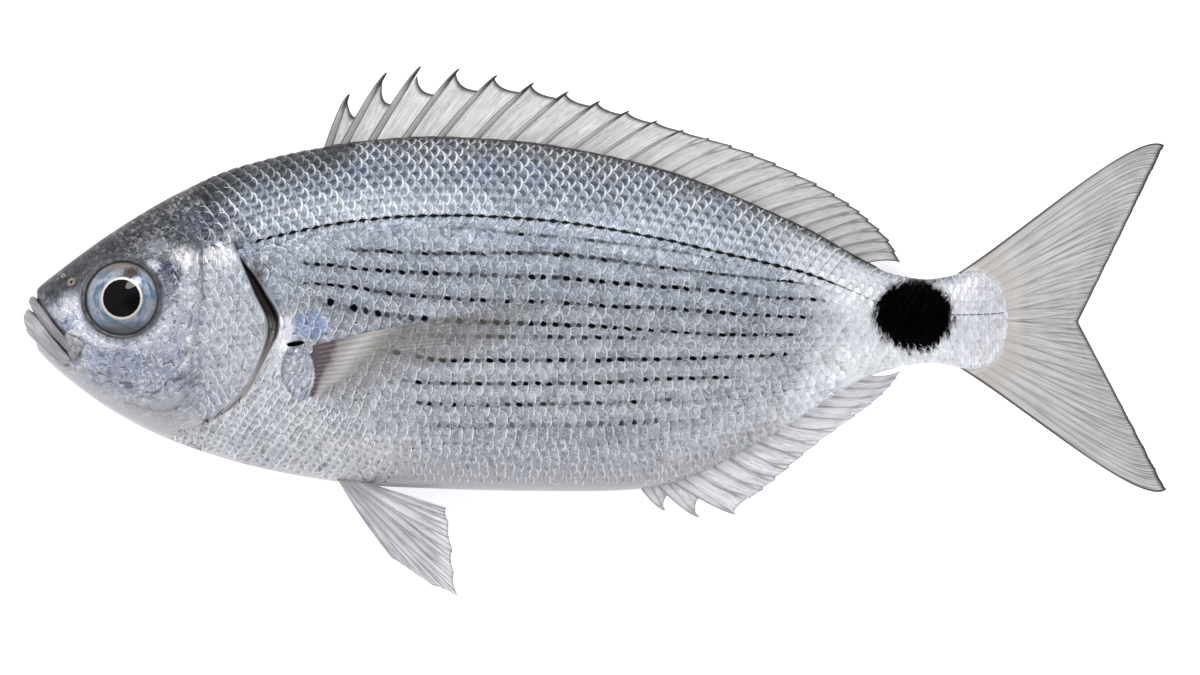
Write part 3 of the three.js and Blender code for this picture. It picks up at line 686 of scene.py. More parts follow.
def breast_beds():
    """Small crinkled scales of the breast, which point down and back."""
    for row in range(34):
        x = row_places(-100, -46, 0.5 * (row % 2), 0.66)
        y = 6 - 1.45 * row - 0.42 * (x + 75)
        keep = (on_breast(x, y) > -0.6) & (behind_gill(x, y) > slit_width(y) + 0.4) & (y > belly(x) + 0.6)
        keep &= on_shoulder(x, y) < 0.5
        x, y = x[keep], y[keep]
        arc = arc_at(x, y)
        low = ease(-20, -29, y)
        yield bed(x, y, arc, np.full(len(x), -0.42), 0.68 * PITCH(x), np.full(len(x), 1.5),
                  lift=0.95 - 0.25 * low, core=0.5, rim=1.1 - 0.2 * low, stray=1.3)


def tail_beds():
    """Small crowded scales of the tail's stalk and root."""
    for row in range(-11, 10):
        x = row_places(TAIL_PATCH_X - 2, 92.6, 0.5 * (row % 2), 0.92)
        arc = np.full(len(x), row * 1.5)
        y = y_of(x, arc)
        root = np.hypot((x - 78) / 15.5, (y - 2.6) / 13.5)
        root = root + 0.02 * np.sin(2.1 * y) + 0.03 * np.sin(5.3 * y + x)
        keep = (arc < edge_arc(x, 1) + 0.5) & (arc > edge_arc(x, -1) - 0.5) & ((root < 1) | (x < 80))
        x, y, arc = x[keep], y[keep], arc[keep]
        black = 1 - ease(0.85, 1.05, from_spot(x, y))
        yield bed(x, y, arc, line_slope(lateral_line, x), 0.92 * PITCH(x), np.full(len(x), 1.7),
                  lift=0.75 - 0.2 * black, core=0.12 + 0.2 * (y > 8), rim=0.7, mid=0.45 * (row == 0))


def cover_beds():
    """Flat scales of the gill covers."""
    for row in range(22):
        x = row_places(-92, -72, 0.5 * (row % 2), 0.92)
        y = np.full(len(x), -23 + 1.95 * row) + 0.12 * (x + 80)
        edge, turn = distance_to(PREOPERCLE, x, y)
        keep = (turn > 0) & (edge > 0.9) & (behind_gill(x, y) < -1) & (y < 19) & (x > -89.4)
        x, y = x[keep], y[keep]
        yield bed(x, y, arc_at(x, y), np.full(len(x), 0.12), 0.92 * PITCH(x), np.full(len(x), 2.05),
                  lift=0.75, core=0.25, rim=0.8, stray=1)


def cheek_beds():
    """Small scales between the eye and the edge of the gill cover's front plate."""
    for row in range(14):
        x = row_places(-103, -89, 0.5 * (row % 2), 0.86)
        y = np.full(len(x), -11.5 + 1.85 * row) + 0.3 * (x + 96)
        edge, turn = distance_to(PREOPERCLE, x, y)
        from_eye = np.hypot(x - EYE_X, y - EYE_Y)
        keep = (turn < 0) & (edge > 2.6) & (from_eye > 12) & (y > -13) & (y < 16)
        x, y = x[keep], y[keep]
        yield bed(x, y, arc_at(x, y), np.full(len(x), 0.3), 0.86 * PITCH(x), np.full(len(x), 1.9),
                  lift=0.5, core=0.35, rim=0.8, stray=1)


def scale_template():
    """One scale: a grid for its face, closed underneath by a single face."""
    bm = bmesh.new()
    bm.loops.layers.uv.new("UVMap")
    bmesh.ops.create_grid(bm, x_segments=len(SCALE_COLUMNS) - 1, y_segments=6, size=1, calc_uvs=True)
    face_up = set(bm.faces)
    bmesh.ops.edgeloop_fill(bm, edges=[edge for edge in bm.edges if edge.is_boundary])
    floor = [face for face in bm.faces if face not in face_up]
    for face in floor:
        face.normal_update()
        if face.normal.z > 0:
            bmesh.ops.reverse_faces(bm, faces=[face])
    column = np.array([round((vert.co.x + 1) / 2 * (len(SCALE_COLUMNS) - 1)) for vert in bm.verts])
    across = np.array([vert.co.y for vert in bm.verts])
    mesh = bpy.data.meshes.new("scale")
    bm.to_mesh(mesh)
    bm.free()
    return mesh, column, across


def scales_piece(name, side, beds, material):
    table = {key: np.concatenate([one[key] for one in beds]) for key in beds[0]}
    count = len(table["x"])
    template, column, across = scale_template()
    mesh = joined("scale", [template] * count)
    col = {key: value[:, None] for key, value in table.items()}
    luck = draw.normal(size=(5, count, 1)).clip(-2, 2)
    along, v = SCALE_COLUMNS[column][None], across[None]
    stray = col["stray"]
    rear = 0.62 * np.sqrt(1 - v * v) + 0.07 * stray * luck[1] * v
    a = col["pitch"] * lerp(-1.25, rear + 0.05 * stray * luck[0], along)
    c = v * col["half"] * lerp(0.85, 1, along) * (1 + 0.02 * luck[1])
    lean = np.arctan(col["slope"]) + (0.02 + 0.05 * stray) * luck[2]
    dx, dy = a * np.cos(lean) - c * np.sin(lean), a * np.sin(lean) + c * np.cos(lean)
    x = col["x"] + dx + 0.12 * stray * luck[3]
    arc = col["arc"] + dy - line_slope(lateral_line, col["x"]) * dx
    height = lerp(-0.3, 0.2, along ** 0.8) + 0.06 * (1 - v * v) - 0.08 * v ** 4 + 0.03 * luck[4] * along
    height = height + 0.05 * stray * luck[2] * v * along
    height = height - 0.3 * (column == len(SCALE_COLUMNS) - 1)[None]
    height = col["lift"] * height - 0.25 * (1 - col["lift"])
    x = np.minimum(x, TAIL_ROOT_X - 0.4)
    y = y_of(x, arc)
    body = col["x"] > gill_edge(np.clip(y, -29, 22)) + 0.5 * slit_width(y)
    wall = gill_edge(y) + np.where(body, 1.15 * slit_width(y) + 0.2, -0.3)
    near_slit = (y < 19) & (col["arc"] < 0)
    x = np.where(near_slit & body, np.maximum(x, wall), np.where(near_slit, np.minimum(x, wall), x))
    places = raised(x, angle_of(x, arc), side, height)
    place_vertices(mesh, places.reshape(-1, 3))
    set_uv(mesh, np.broadcast_to(along, x.shape).ravel(), np.broadcast_to((v + 1) / 2, x.shape).ravel())
    spread = lambda values: np.repeat(values, len(column), axis=0)
    tint = skin_tint(x.ravel(), y.ravel(), spread(0.05 * luck[1, :, 0]))
    tint = tint * spread(1 + (0.03 + 0.09 * table["stray"]) * luck[3, :, 0])[:, None]
    blue = np.clip(grain(table["x"], table["y"] + 200 * side, 7) * 1.6, 0, 1) * (0.3 + 0.7 * table["core"])
    tint = tinted(tint, "7488ad", 0.4 * spread(blue) * ease(0.03, 0.15, tint[:, 1]))
    line = col["above"] * hump(v - ROWS_MEET, 0.3) + 1.4 * col["below"] * hump(v + ROWS_MEET, 0.3)
    tint = tinted(tint, "39414e", 0.42 * line.clip(0, 1).ravel())
    # How strong the painted highlight on each scale's rear edge is, weaker on dark skin
    rim = table["rim"] * ease(0.01, 0.06, skin_tint(table["x"], table["y"])[:, 1])
    dots = [1.15 * table[key] * (1 + 0.18 * luck[k, :, 0]) for k, key in enumerate(("above", "below"))]
    dots = np.stack([*dots, table["mid"]], -1)
    give(mesh, "tint", tint)
    give(mesh, "dots", spread(dots.clip(0, 1.3)))
    give(mesh, "form", spread(np.stack([table["core"], rim, 0.5 + 0.25 * luck[0, :, 0]], -1)))
    return new_piece(name, mesh, material)


# Eyes, mouth and nostrils
UPPER_LIP = [
    (-127.5, 6.5, 0), (-126.9, 5.6, 2.4), (-125, 3.2, 4.6), (-122.4, -0.2, 6), (-120.2, -2.6, 6.4),
    (-118.2, -5.1, 6.4),
]
LOWER_LIP = [
    (-128.4, 2.5, 0), (-127.8, 1.7, 2.1), (-126, -0.5, 4.1), (-123.6, -3.2, 4.8), (-121.2, -5.6, 4.9),
    (-118.9, -7.3, 5.2),
]
EYE_SINK = 0.75
LENS_RISE = 0.35


def skin_height(x, y):
    """How far the plain flank stands off the mid plane at a place on the fish's side."""
    return flank(x, angle_at(x, y), 1, lambda *_: 0)[..., 2] - mid_plane(x)


def on_side(x, y, side, height):
    """Places at a height above the plain flank, pressed flat where the table is."""
    skin = np.maximum(mid_plane(x) + side * skin_height(x, y), BED)
    return np.stack([x, y, np.maximum(skin + side * height, 0.5 * TABLE_GAP)], -1)


def eye_piece(name, side, material):
    mesh, ball = ball_mesh(name, 72, 48)
    radius = np.hypot(ball[:, 0], ball[:, 1])
    above = (EYE_RISE + EYE_SINK - LENS_RISE) * ball[:, 2] + LENS_RISE * hump(radius, 0.42)
    height = np.where(ball[:, 2] > 0, above, 2.2 * ball[:, 2]) - EYE_SINK
    places = on_side(EYE_X + EYE_RADIUS * ball[:, 0], EYE_Y + EYE_RADIUS * ball[:, 1], side, height)
    place_vertices(mesh, places)
    close_seams(mesh)
    return new_piece(name, mesh, material)


def eye_rim_piece(name, side, material):
    mesh, across, up = grid_mesh(name, 96, 12)
    turn, round_it = 2 * np.pi * across, 2 * np.pi * up
    uneven = 1 + 0.12 * np.sin(3 * turn + 1) + 0.08 * np.sin(7 * turn)
    radius = EYE_RADIUS + 0.2 + 0.62 * uneven * np.cos(round_it)
    height = 0.02 + 0.5 * np.sin(round_it)
    place_vertices(mesh, on_side(EYE_X + radius * np.cos(turn), EYE_Y + radius * np.sin(turn), side, height))
    close_seams(mesh)
    return new_piece(name, mesh, material)


def lip_piece(name, path, material, wide, thick, fade):
    """A soft roll of skin along a lip, from one corner of the mouth round the snout to the other."""
    whole = [(x, y, -z) for x, y, z in path[:0:-1]] + list(path)
    keys = range(len(whole))
    mesh, across, up = grid_mesh(name, 160, 24)
    t, turn = across * (len(whole) - 1), 2 * np.pi * up
    at = [smooth([(k, whole[k][axis]) for k in keys]) for axis in range(3)]
    spine = np.stack([axis(t) for axis in at], -1)
    ahead = np.stack([axis(t + 0.02) - axis(t - 0.02) for axis in at], -1)
    ahead /= np.linalg.norm(ahead, axis=1, keepdims=True)
    aside = 1.2 * np.sign(across - 0.5) * ease(0, 0.25, np.abs(across - 0.5))
    outer = np.stack([0 * t - 0.55, 0 * t, aside], -1)
    outer -= ahead * np.sum(outer * ahead, 1, keepdims=True)
    outer /= np.linalg.norm(outer, axis=1, keepdims=True)
    upward = np.cross(outer, ahead)
    closing = np.sqrt(np.clip(1 - (np.abs(2 * across - 1)) ** 14, 0, 1))
    closing = closing * lerp(1, fade, ease(0.25, 1, np.abs(2 * across - 1)))
    folds = 1 + 0.05 * np.sin(5 * turn + 0.6 * np.sin(3 * t)) + 0.04 * np.sin(9 * turn + 0.5 * t)
    ring = upward * (wide * np.cos(turn) * closing * folds)[:, None]
    ring += outer * (thick * np.sin(turn) * closing * folds)[:, None]
    places = spine + ring
    places[:, 2] += mid_plane(places[:, 0])
    place_vertices(mesh, places)
    set_uv(mesh, t, up)
    close_seams(mesh)
    return new_piece(name, mesh, material)


def pad_piece(name, outline, side, material, base, rise, rough=0.0):
    """A low rounded pad that lies on the flank, such as the plate at the end of the upper jaw."""
    mesh, ball = ball_mesh(name, 72, 28)
    turns = np.arange(len(outline) + 3) - 1
    edge = [smooth([(k, outline[k % len(outline)][axis]) for k in turns]) for axis in (0, 1)]
    turn = np.mod(np.arctan2(ball[:, 1], ball[:, 0]) / (2 * np.pi), 1) * len(outline)
    reach = np.sqrt(np.arccos(np.clip(np.abs(ball[:, 2]), 0, 1)) * 2 / np.pi)
    middle = np.mean(outline, axis=0)
    x = middle[0] + (edge[0](turn) - middle[0]) * reach
    y = middle[1] + (edge[1](turn) - middle[1]) * reach
    dome = np.sqrt(np.clip(1 - reach ** 4, 0, 1))
    height = base + np.where(ball[:, 2] > 0, rise * dome, -0.5 * dome)
    if rough:
        height += rough * dome * (grain(x, y, 0.7, 2.2, -1.0, 4) + grain(x, y, 0.5, 2, 0.5, 8))
    place_vertices(mesh, on_side(x, y, side, height))
    close_seams(mesh)
    give(mesh, "tint", np.broadcast_to(linear("9b9ca5"), (len(mesh.vertices), 3)))
    give(mesh, "foil", np.full(len(mesh.vertices), 1.0))
    return new_piece(name, mesh, material)


def nostril_piece(name, side, material):
    """Raised rims round the two openings of the nose."""
    parts = []
    for x, y, radius in NOSTRILS:
        mesh, across, up = grid_mesh(name, 28, 10)
        turn, round_it = 2 * np.pi * across, 2 * np.pi * up
        reach = radius * (1 + 0.6 * np.cos(round_it)) * (1 + 0.1 * np.sin(2 * turn))
        height = 0.08 + 0.5 * radius * np.sin(round_it)
        place_vertices(mesh, on_side(x + reach * np.cos(turn), y + reach * np.sin(turn), side, height))
        close_seams(mesh)
        parts.append(mesh)
    return new_piece(name, joined(name, parts), material)


# Fins. Each row of rays is a ray's number, where it stands on the body and its tip
RAY_BEND = [(0.41, 0.67), (0.75, 0.67)]
RAY_BOW = 1.4
SPINE_BOW = 0.5
SPINE_THICKNESS = (1.5, 0.5)
WEB_DIP = (0.2, 0.02)
ROOT_DEPTH = 3
FIN_DROOP = 1.6
DORSAL_RAYS = [
    (0, -59.8, -55.6, 53.6), (1, -56.2, -47.1, 58.5), (2, -50.1, -39.3, 60), (3, -42.6, -30.6, 59.4),
    (5, -26.7, -13.6, 56.2), (7, -11.5, 1.4, 52), (10, 7.5, 20.4, 45.4), (13, 21.8, 36.1, 40),
    (16, 35.2, 50.5, 33.2), (18, 43.6, 58, 28.6), (20, 50.6, 62.3, 25.1), (22, 55.8, 67, 20.3),
    (24, 62.5, 69.4, 15.3),
]
DORSAL_SPINES = 11
DORSAL_WEB = [(0, 0.41), (1, 0.41), (2, 0.49), (3, 0.61), (5, 0.8), (8, 0.88), (11, 0.97), (24, 0.98)]
DORSAL_EDGE = (1.5, 0.95)
ANAL_RAYS = [
    (0, 12.7, 16, -41), (1, 16.6, 23.8, -42.6), (2, 20.2, 32.1, -41.9), (3, 23.6, 35.6, -38.4),
    (5, 30.9, 41, -34), (8, 41.1, 50.8, -25.6), (11, 51.1, 62.9, -16.8), (13, 57.4, 67.4, -12.5),
    (15, 64, 69.4, -9.3),
]
ANAL_SPINES = 3
ANAL_WEB = [(0, 0.36), (1, 0.36), (2, 0.48), (3, 0.93), (15, 0.98)]
ANAL_EDGE = (2.2, 0.7)
TAIL_RAYS = 17
TAIL_ROOT = [(0, 81, 12), (0.25, 89.5, 9.2), (0.5, 91, 2.2), (0.75, 89.5, -5), (1, 81.4, -7.8)]
TAIL_UPPER_TIP, TAIL_FORK, TAIL_LOWER_TIP = (129.6, 41.9), (109.8, 1.8), (130, -36.3)
TAIL_BOW = 7
TAIL_BEND = [(0.33, 0), (0.95, 1)]
PELVIC_RAYS = [
    (-58.8, -43.8, -53), (-58.2, -36.8, -57.8), (-57.5, -31.1, -60.2), (-56.7, -31.9, -54.9),
    (-55.8, -32.2, -49.8), (-54.8, -33.1, -43.6), (-53.6, -33.7, -40.2),
]
PELVIC_BOW = 0.9
PELVIC_OFFSET = 2.3
PELVIC_SPLAY = 3.1
PELVIC_DEPTH = 1.1
RIGHT_PELVIC_SHARE = 0.88
RIGHT_PELVIC_SHIFT = (-0.6, -1.2)
PECTORAL_RAYS = 13
PECTORAL_ROOT = [(-66.2, -4.2), (-64.6, -15)]
PECTORAL_TIPS = [
    (0, -10.2, 6.1), (2, -17, 0.2), (4, -24, -4.2), (6, -33, -7.2), (8, -42, -9.9), (10, -50, -12.8),
    (12, -58, -15.4),
]
PECTORAL_BOW = 2.2
PECTORAL_LOBE = [
    (-69.4, -4.6), (-65.8, -4), (-63.2, -7), (-62, -11), (-63.1, -14.4), (-66.1, -16.2),
    (-69.3, -14.2), (-71, -9.3),
]
PECTORAL_MARK = [(-69.4, -3.1), (-67.6, -2.6), (-65.8, -2.5), (-65.5, -3.1), (-67.2, -3.7), (-69, -3.8)]


def make_ray(base, tip, bow, bend=RAY_BEND):
    """The four control points of a ray that is bowed towards the head."""
    base, tip = np.array(base, float), np.array(tip, float)
    line = tip - base
    rear = np.array([line[1], -line[0]]) / np.hypot(*line)
    return np.array([base, *(base + line * along - rear * bow * pull for along, pull in bend), tip])


def on_ray(points, t):
    """Places along rays, where points has one set of control points for each value of t."""
    s = 1 - t
    weights = np.stack([s ** 3, 3 * s * s * t, 3 * s * t * t, t ** 3], -1)
    return np.einsum("...k,...kd->...d", weights, points)


def edge_rays(rows, spines, edge, faces):
    curves = [smooth(rows, column) for column in (1, 2, 3)]
    rays = []
    for i in range(rows[-1][0] + 1):
        foot_x, tip_x, tip_y = (float(curve(i)) for curve in curves)
        foot, tip = np.array([foot_x, edge(foot_x)]), np.array([tip_x, tip_y])
        base = foot - (tip - foot) / np.hypot(*(tip - foot)) * ROOT_DEPTH
        rays.append(make_ray(base, tip, faces * (SPINE_BOW if i < spines else RAY_BOW)))
    return np.array(rays)


def in_mid_plane(x, y, up):
    return mid_plane(x) - FIN_DROOP * up * up


def membrane_piece(name, rays, material, stand, top=None, *, per_ray, rows, splits, spread, share=0.25,
                   web=0.22, ray=0.75, pleat=0.12, notch=0.03, spiny=0, ragged=0.0):
    """Fin skin with its soft rays, which branch towards their tips."""
    columns = (len(rays) - 1) * per_ray
    mesh, across, up = grid_mesh(name, 2 * columns, rows)
    fold = 2 * across
    face = np.where(fold < 1, 1, -1)
    at = np.where(fold < 1, fold, 2 - fold) * (len(rays) - 1)
    i = np.clip(at.astype(int), 0, len(rays) - 2)
    f = at - i
    reach = (1 - notch * np.sin(np.pi * f)) if top is None else top(i, f)
    reach = reach - ragged * (1 + np.sin(17.3 * at + 3 * np.sin(5.1 * at)))
    t = up * reach
    ends = on_ray(rays[i], t), on_ray(rays[i + 1], t)
    place = lerp(ends[0], ends[1], f[:, None])
    gap = np.linalg.norm(ends[1] - ends[0], axis=1)
    off = np.abs(f - np.round(f))
    for start in splits:
        off = np.abs(off - share * ease(start, start + 0.4, t))
        share /= 2
    soft = (at > spiny - 0.5) if spiny else np.ones(len(at), bool)
    mask = hump(off * gap, lerp(*spread, t)) * soft
    joints = 1 + 0.12 * np.sin(t * 60 + 3 * at) * mask
    border = np.clip((1 - up) / 0.035, 0, 1) * np.clip(up / 0.03, 0, 1)
    border *= np.clip((len(rays) - 1 - at) / 0.12, 0, 1) * np.clip(at / 0.12, 0, 1)
    half = lerp(web, ray * lerp(1, 0.6, t), mask) / 2 * joints * np.sqrt(border)
    wave = pleat * np.cos(2 * np.pi * f) * ease(0, 0.2, up)
    z = stand(place[:, 0], place[:, 1], up) + wave + face * half
    place_vertices(mesh, np.concatenate([place, z[:, None]], 1))
    set_uv(mesh, at, up)
    give(mesh, "ray", mask)
    give(mesh, "margin", up)
    length = np.linalg.norm(rays[:, 3] - rays[:, 0], axis=1)
    inward = (1 - up) * reach * lerp(length[i], length[i + 1], f)
    give(mesh, "inward", np.minimum(inward, 4 * np.minimum(at, len(rays) - 1 - at) * gap))
    close_seams(mesh)
    return new_piece(name, mesh, material)


def spines_piece(name, rays, edge, material, stand):
    """Hard spines, each a tapered blade with a sharp tip."""
    parts = []
    for number, points in enumerate(rays):
        mesh, across, up = grid_mesh(name, 14, 28)
        turn = 2 * np.pi * across
        line = points[3] - points[0]
        rear = np.array([line[1], -line[0]]) / np.hypot(*line)
        if line[1] < 0:
            rear = -rear
        taper = np.sqrt(np.clip(1 - up ** 5, 0, 1)) * np.sqrt(np.clip(up / 0.04, 0, 1))
        slim = 1 - 0.045 * number
        wide, deep = slim * lerp(*edge, up) * taper, slim * lerp(*SPINE_THICKNESS, up) / 2 * taper
        centre = on_ray(np.broadcast_to(points, (len(up), 4, 2)), up) - rear * (0.33 * wide)[:, None]
        groove = 1 - 0.12 * hump(np.sin(turn) - 1, 0.25)
        place = centre + rear * (0.67 * wide * np.cos(turn) * groove)[:, None]
        z = stand(place[:, 0], place[:, 1], up) + deep * np.sin(turn) * groove
        place_vertices(mesh, np.concatenate([place, z[:, None]], 1))
        give(mesh, "margin", up)
        give(mesh, "front", np.abs(np.cos(turn)) * np.where(np.cos(turn) < 0, 1, 0.8))
        close_seams(mesh)
        parts.append(mesh)
    return new_piece(name, joined(name, parts), material)


def ridge_piece(name, start, end, radius, material):
    """A low roll of skin along the foot of the fin on the back, painted near black as the shade in the groove
    there.
    """
    mesh, across, up = grid_mesh(name, 220, 10)
    turn, x = 2 * np.pi * up, lerp(start, end, across)
    size = radius * np.sqrt(np.clip(1 - np.abs(2 * across - 1) ** 24, 0, 1))
    size *= 1 + 0.2 * np.sin(9.1 * x / radius ** 0.5) * np.sin(0.8 * x)
    y = back(x) + 0.1 + 0.7 * size * np.cos(turn)
    z = mid_plane(x) + 1.5 * size * np.sin(turn)
    place_vertices(mesh, np.stack([x, y, z], -1))
    close_seams(mesh)
    return new_piece(name, mesh, material)


def webbed(webs, spines):
    """How far up the rays the skin reaches: behind a spine it starts high, dips and meets the next one."""
    web = smooth(webs)

    def top(i, f):
        following = web(i + 1.0)
        rear = lerp(0.84, 0.96, following)
        hollow = lerp(*WEB_DIP, following) * np.sin(np.pi * f ** 0.8)
        spiny = lerp(rear, following, f ** 0.85) - hollow
        soft = 1 - 0.055 * ease(0, 0.14, f) * (1 - f)
        return np.where(i < spines, spiny, soft)

    return top


def tail_rays():
    rays = []
    for i in range(TAIL_RAYS):
        turn = i / (TAIL_RAYS - 1)
        lobe, spread = (TAIL_UPPER_TIP if turn < 0.5 else TAIL_LOWER_TIP), abs(1 - 2 * turn)
        base = [float(smooth(TAIL_ROOT, column)(turn)) for column in (1, 2)]
        tip = [lerp(TAIL_FORK[k], lobe[k], spread) for k in (0, 1)]
        rays.append(make_ray(base, tip, TAIL_BOW * np.sign(0.5 - turn) * spread ** 2, TAIL_BEND))
    return np.array(rays)


def pelvic_rays(side):
    share, shift = (1, (0, 0)) if side > 0 else (RIGHT_PELVIC_SHARE, RIGHT_PELVIC_SHIFT)
    rays = []
    for number, (x, tip_x, tip_y) in enumerate(PELVIC_RAYS):
        bow = -PELVIC_BOW * (1 - number / (len(PELVIC_RAYS) - 1))
        base = np.array([x, float(belly(x)) + PELVIC_DEPTH])
        rays.append(make_ray(base, base + share * (np.array([tip_x, tip_y]) - base) + shift, bow))
    return np.array(rays)


def pectoral_rays():
    tip_x, tip_y = smooth(PECTORAL_TIPS, 1), smooth(PECTORAL_TIPS, 2)
    rays = []
    for i in range(PECTORAL_RAYS):
        share = i / (PECTORAL_RAYS - 1)
        base = [lerp(PECTORAL_ROOT[0][k], PECTORAL_ROOT[1][k], share) for k in (0, 1)]
        rays.append(make_ray(base, (float(tip_x(i)), float(tip_y(i))), PECTORAL_BOW * (1 - share)))
    return np.array(rays)


def on_upper_flank(x, y, up):
    return mid_plane(x) + skin_height(x, y) + lerp(-0.9, 0.62, ease(0, 0.06, up))


def under_lower_flank(x, y, up):
    return np.maximum(mid_plane(x) - skin_height(x, y) - 0.25, 0.16) + 0.3 * (1 - ease(0, 0.16, up))


# Materials
def paint(code):
    return (*linear(code), 1)


COLOUR_MIX = (0, 6, 7)  # the sockets of a colour mix: its share and its two colours
COLOUR_MIXED = 2


def node(tree, kind, *values, out=0, **named):
    """Adds a node, whose kind may end in a dot and its operation, and gives back one of its outputs.
    Values go to its sockets in order. A name with a capital is a socket too, any other is a setting."""
    kind, _, operation = kind.partition(".")
    made = tree.nodes.new("ShaderNode" + kind)
    order = range(len(values))
    if operation:
        made.operation = operation
    if kind == "Mix":
        made.data_type, order, out = "RGBA", COLOUR_MIX, COLOUR_MIXED
    sockets = dict(zip(order, values))
    for name, value in named.items():
        if name[0].isupper():
            sockets[name.replace("_", " ")] = value
        else:
            setattr(made, name, value)
    for socket, value in sockets.items():
        if isinstance(value, bpy.types.NodeSocket):
            tree.links.new(value, made.inputs[socket])
        else:
            made.inputs[socket].default_value = value
    return made.outputs[out]


def material(name):
    """A new material, and what adds a node to it."""
    made = bpy.data.materials.new(name)
    made.use_nodes = True
    made.node_tree.nodes.clear()
    return made, partial(node, made.node_tree)


def finish_with(made, **sockets):
    """Adds the surface shader and the output."""
    tree = made.node_tree
    output = tree.nodes.new("ShaderNodeOutputMaterial")
    tree.links.new(node(tree, "BsdfPrincipled", **sockets), output.inputs["Surface"])


def round_eye(add, place, turn, reach):
    """A place measured from the eye in mm, and a vector that follows the eye's rim and goes out from it."""
    flat = add("VectorMath.SUBTRACT", place, (EYE_X * MM, EYE_Y * MM, 0))
    flat = add("VectorMath.MULTIPLY", flat, (1 / MM, 1 / MM, 0))
    radius = add("VectorMath.LENGTH", flat, out="Value")
    turned = add("VectorMath.NORMALIZE", flat)
    out = add("CombineXYZ", Z=add("Math.MULTIPLY", radius, reach))
    swirl = add("VectorMath.MULTIPLY_ADD", turned, (turn, turn, turn), out)
    return flat, radius, swirl


def crossing_lines(add, value, level, far, near, peak):
    """Lines along which a value crosses a level, from nothing at the far distance up to a peak."""
    off = add("Math.ABSOLUTE", add("Math.SUBTRACT", value, level))
    return add("MapRange", off, far, near, 0, peak)


def silvered_skin():
    """Raw skin with silver pigment under wet mucus: creased like foil with painted highlights on the cheeks,
    smooth on the crown.
    """
    made, add = material("silvered_skin")
    place = add("TexCoord", out="Object")
    tint = add("Attribute", attribute_name="tint", out="Color")
    names = ("foil", "slit", "low", "crease_shade")
    foil, slit, low, crease_shade = (add("Attribute", attribute_name=name, out="Fac") for name in names)
    # Clouds 7 mm wide, small cells 1.7 mm wide, and creases that run round the eye
    swirl = round_eye(add, place, 7.0, 0.8)[2]
    bend = add("TexNoise", Vector=place, Scale=500, Detail=2, out="Color")
    bent = add("VectorMath.MULTIPLY_ADD", bend, (0.0016, 0.0016, 0.0016), place)
    cells = add("TexVoronoi", Vector=bent, Scale=560, feature="DISTANCE_TO_EDGE")
    inner = add("SeparateColor", add("TexVoronoi", Vector=bent, Scale=560, out=1)).node.outputs
    strokes = add("TexNoise", Vector=swirl, Scale=1, Detail=4, Distortion=0.9)
    specks = add("TexNoise", Vector=place, Scale=2000, Detail=2)
    broad = add("TexNoise", Vector=place, Scale=150, Detail=3)
    # Painted highlights: bright glints along the strokes and the cells' edges of the creased foil, in clouds
    ridge = crossing_lines(add, strokes, 0.5, 0.07, 0.02, 1)
    chop = add("TexNoise", Vector=place, Scale=640, Detail=1)
    chop = add("MapRange", chop, 0.44, 0.56, 0.15)
    ridge = add("Math.MULTIPLY", ridge, chop)
    edge = add("MapRange", cells, 0.08, 0.02, 0, 0.3)
    bright = add("Math.MAXIMUM", ridge, edge)
    lit = add("MapRange", broad, 0.38, 0.62, 0.3)
    bright = add("Math.MULTIPLY", bright, lit)
    bright = add("Math.MULTIPLY", bright, foil)
    dark = add("MapRange", strokes, 0.48, 0.38, 0, 0.9)
    spots = add("MapRange", inner[0], 0.5, 1.0, 0, 0.6)
    dark = add("Math.MAXIMUM", dark, spots)
    clouds = add("MapRange", broad, 0.6, 0.42, 0.4)
    dark = add("Math.MULTIPLY", dark, clouds)
    dark = add("Math.MULTIPLY", dark, foil)
    blue = add("Math.MULTIPLY", inner[1], foil)
    blue = add("MapRange", blue, 0.5, 1, 0, 0.6)
    fine = add("MapRange", specks, 0.3, 0.7, 0.88, 1.1)
    haze = add("VectorMath.MULTIPLY", tint, (0.75, 0.9, 1.15))
    deep = add("VectorMath.MULTIPLY", tint, (0.3, 0.31, 0.38))
    pale = add("VectorMath.SCALE", tint, Scale=1.6)
    pale = add("Mix", 0.4, pale, paint("ffffff"))
    colour = tint
    for share, over in ((blue, haze), (dark, deep), (bright, pale)):
        colour = add("Mix", share, colour, over)
    colour = add("VectorMath.SCALE", colour, Scale=fine)
    # Painted shade: the head's grooves darker, and the gill slits and the mouth near black, except low on the
    # slit, which is pale grey-brown
    hollow = add("Mix", low, paint("1a120e"), paint("b3aeab"))
    for share, over in ((crease_shade, paint("3f3f45")), (slit, hollow)):
        colour = add("Mix", share, colour, over)
    height = add("Math.SUBTRACT", bright, dark)
    height = add("Math.MULTIPLY_ADD", specks, 0.35, height)
    bump = add("Bump", Height=height, Strength=0.45, Distance=0.0003)
    rough = add("MapRange", specks, 0, 1, 0.26, 0.42)
    metal = add("MapRange", foil, 0, 1, 0.15, 0.45)
    light = add("SeparateColor", tint, out=1)
    black = add("MapRange", light, 0.06, 0.004)
    metal = add("Math.MAXIMUM", metal, black)
    coat = add("MapRange", black, 0, 1, 0.2, 0.0)
    finish_with(made, Base_Color=colour, Metallic=metal, Roughness=rough, Normal=bump, Coat_Weight=coat,
                Coat_Roughness=0.12)
    return made


# Marks on each scale, as centres and radii in its UV square: a dark middle, part pigment and part painted
# shade, then a dot at its top, its bottom and its middle, and a thin dark line to the next scale
SCALE_MARKS = [
    ((0.72, 0.45), (0.18, 0.21)), ((0.85, 0.76), (0.19, 0.12)), ((0.85, 0.24), (0.19, 0.12)),
    ((0.74, 0.5), (0.2, 0.12)), ((0.75, 0.5), (0.5, 0.05)),
]


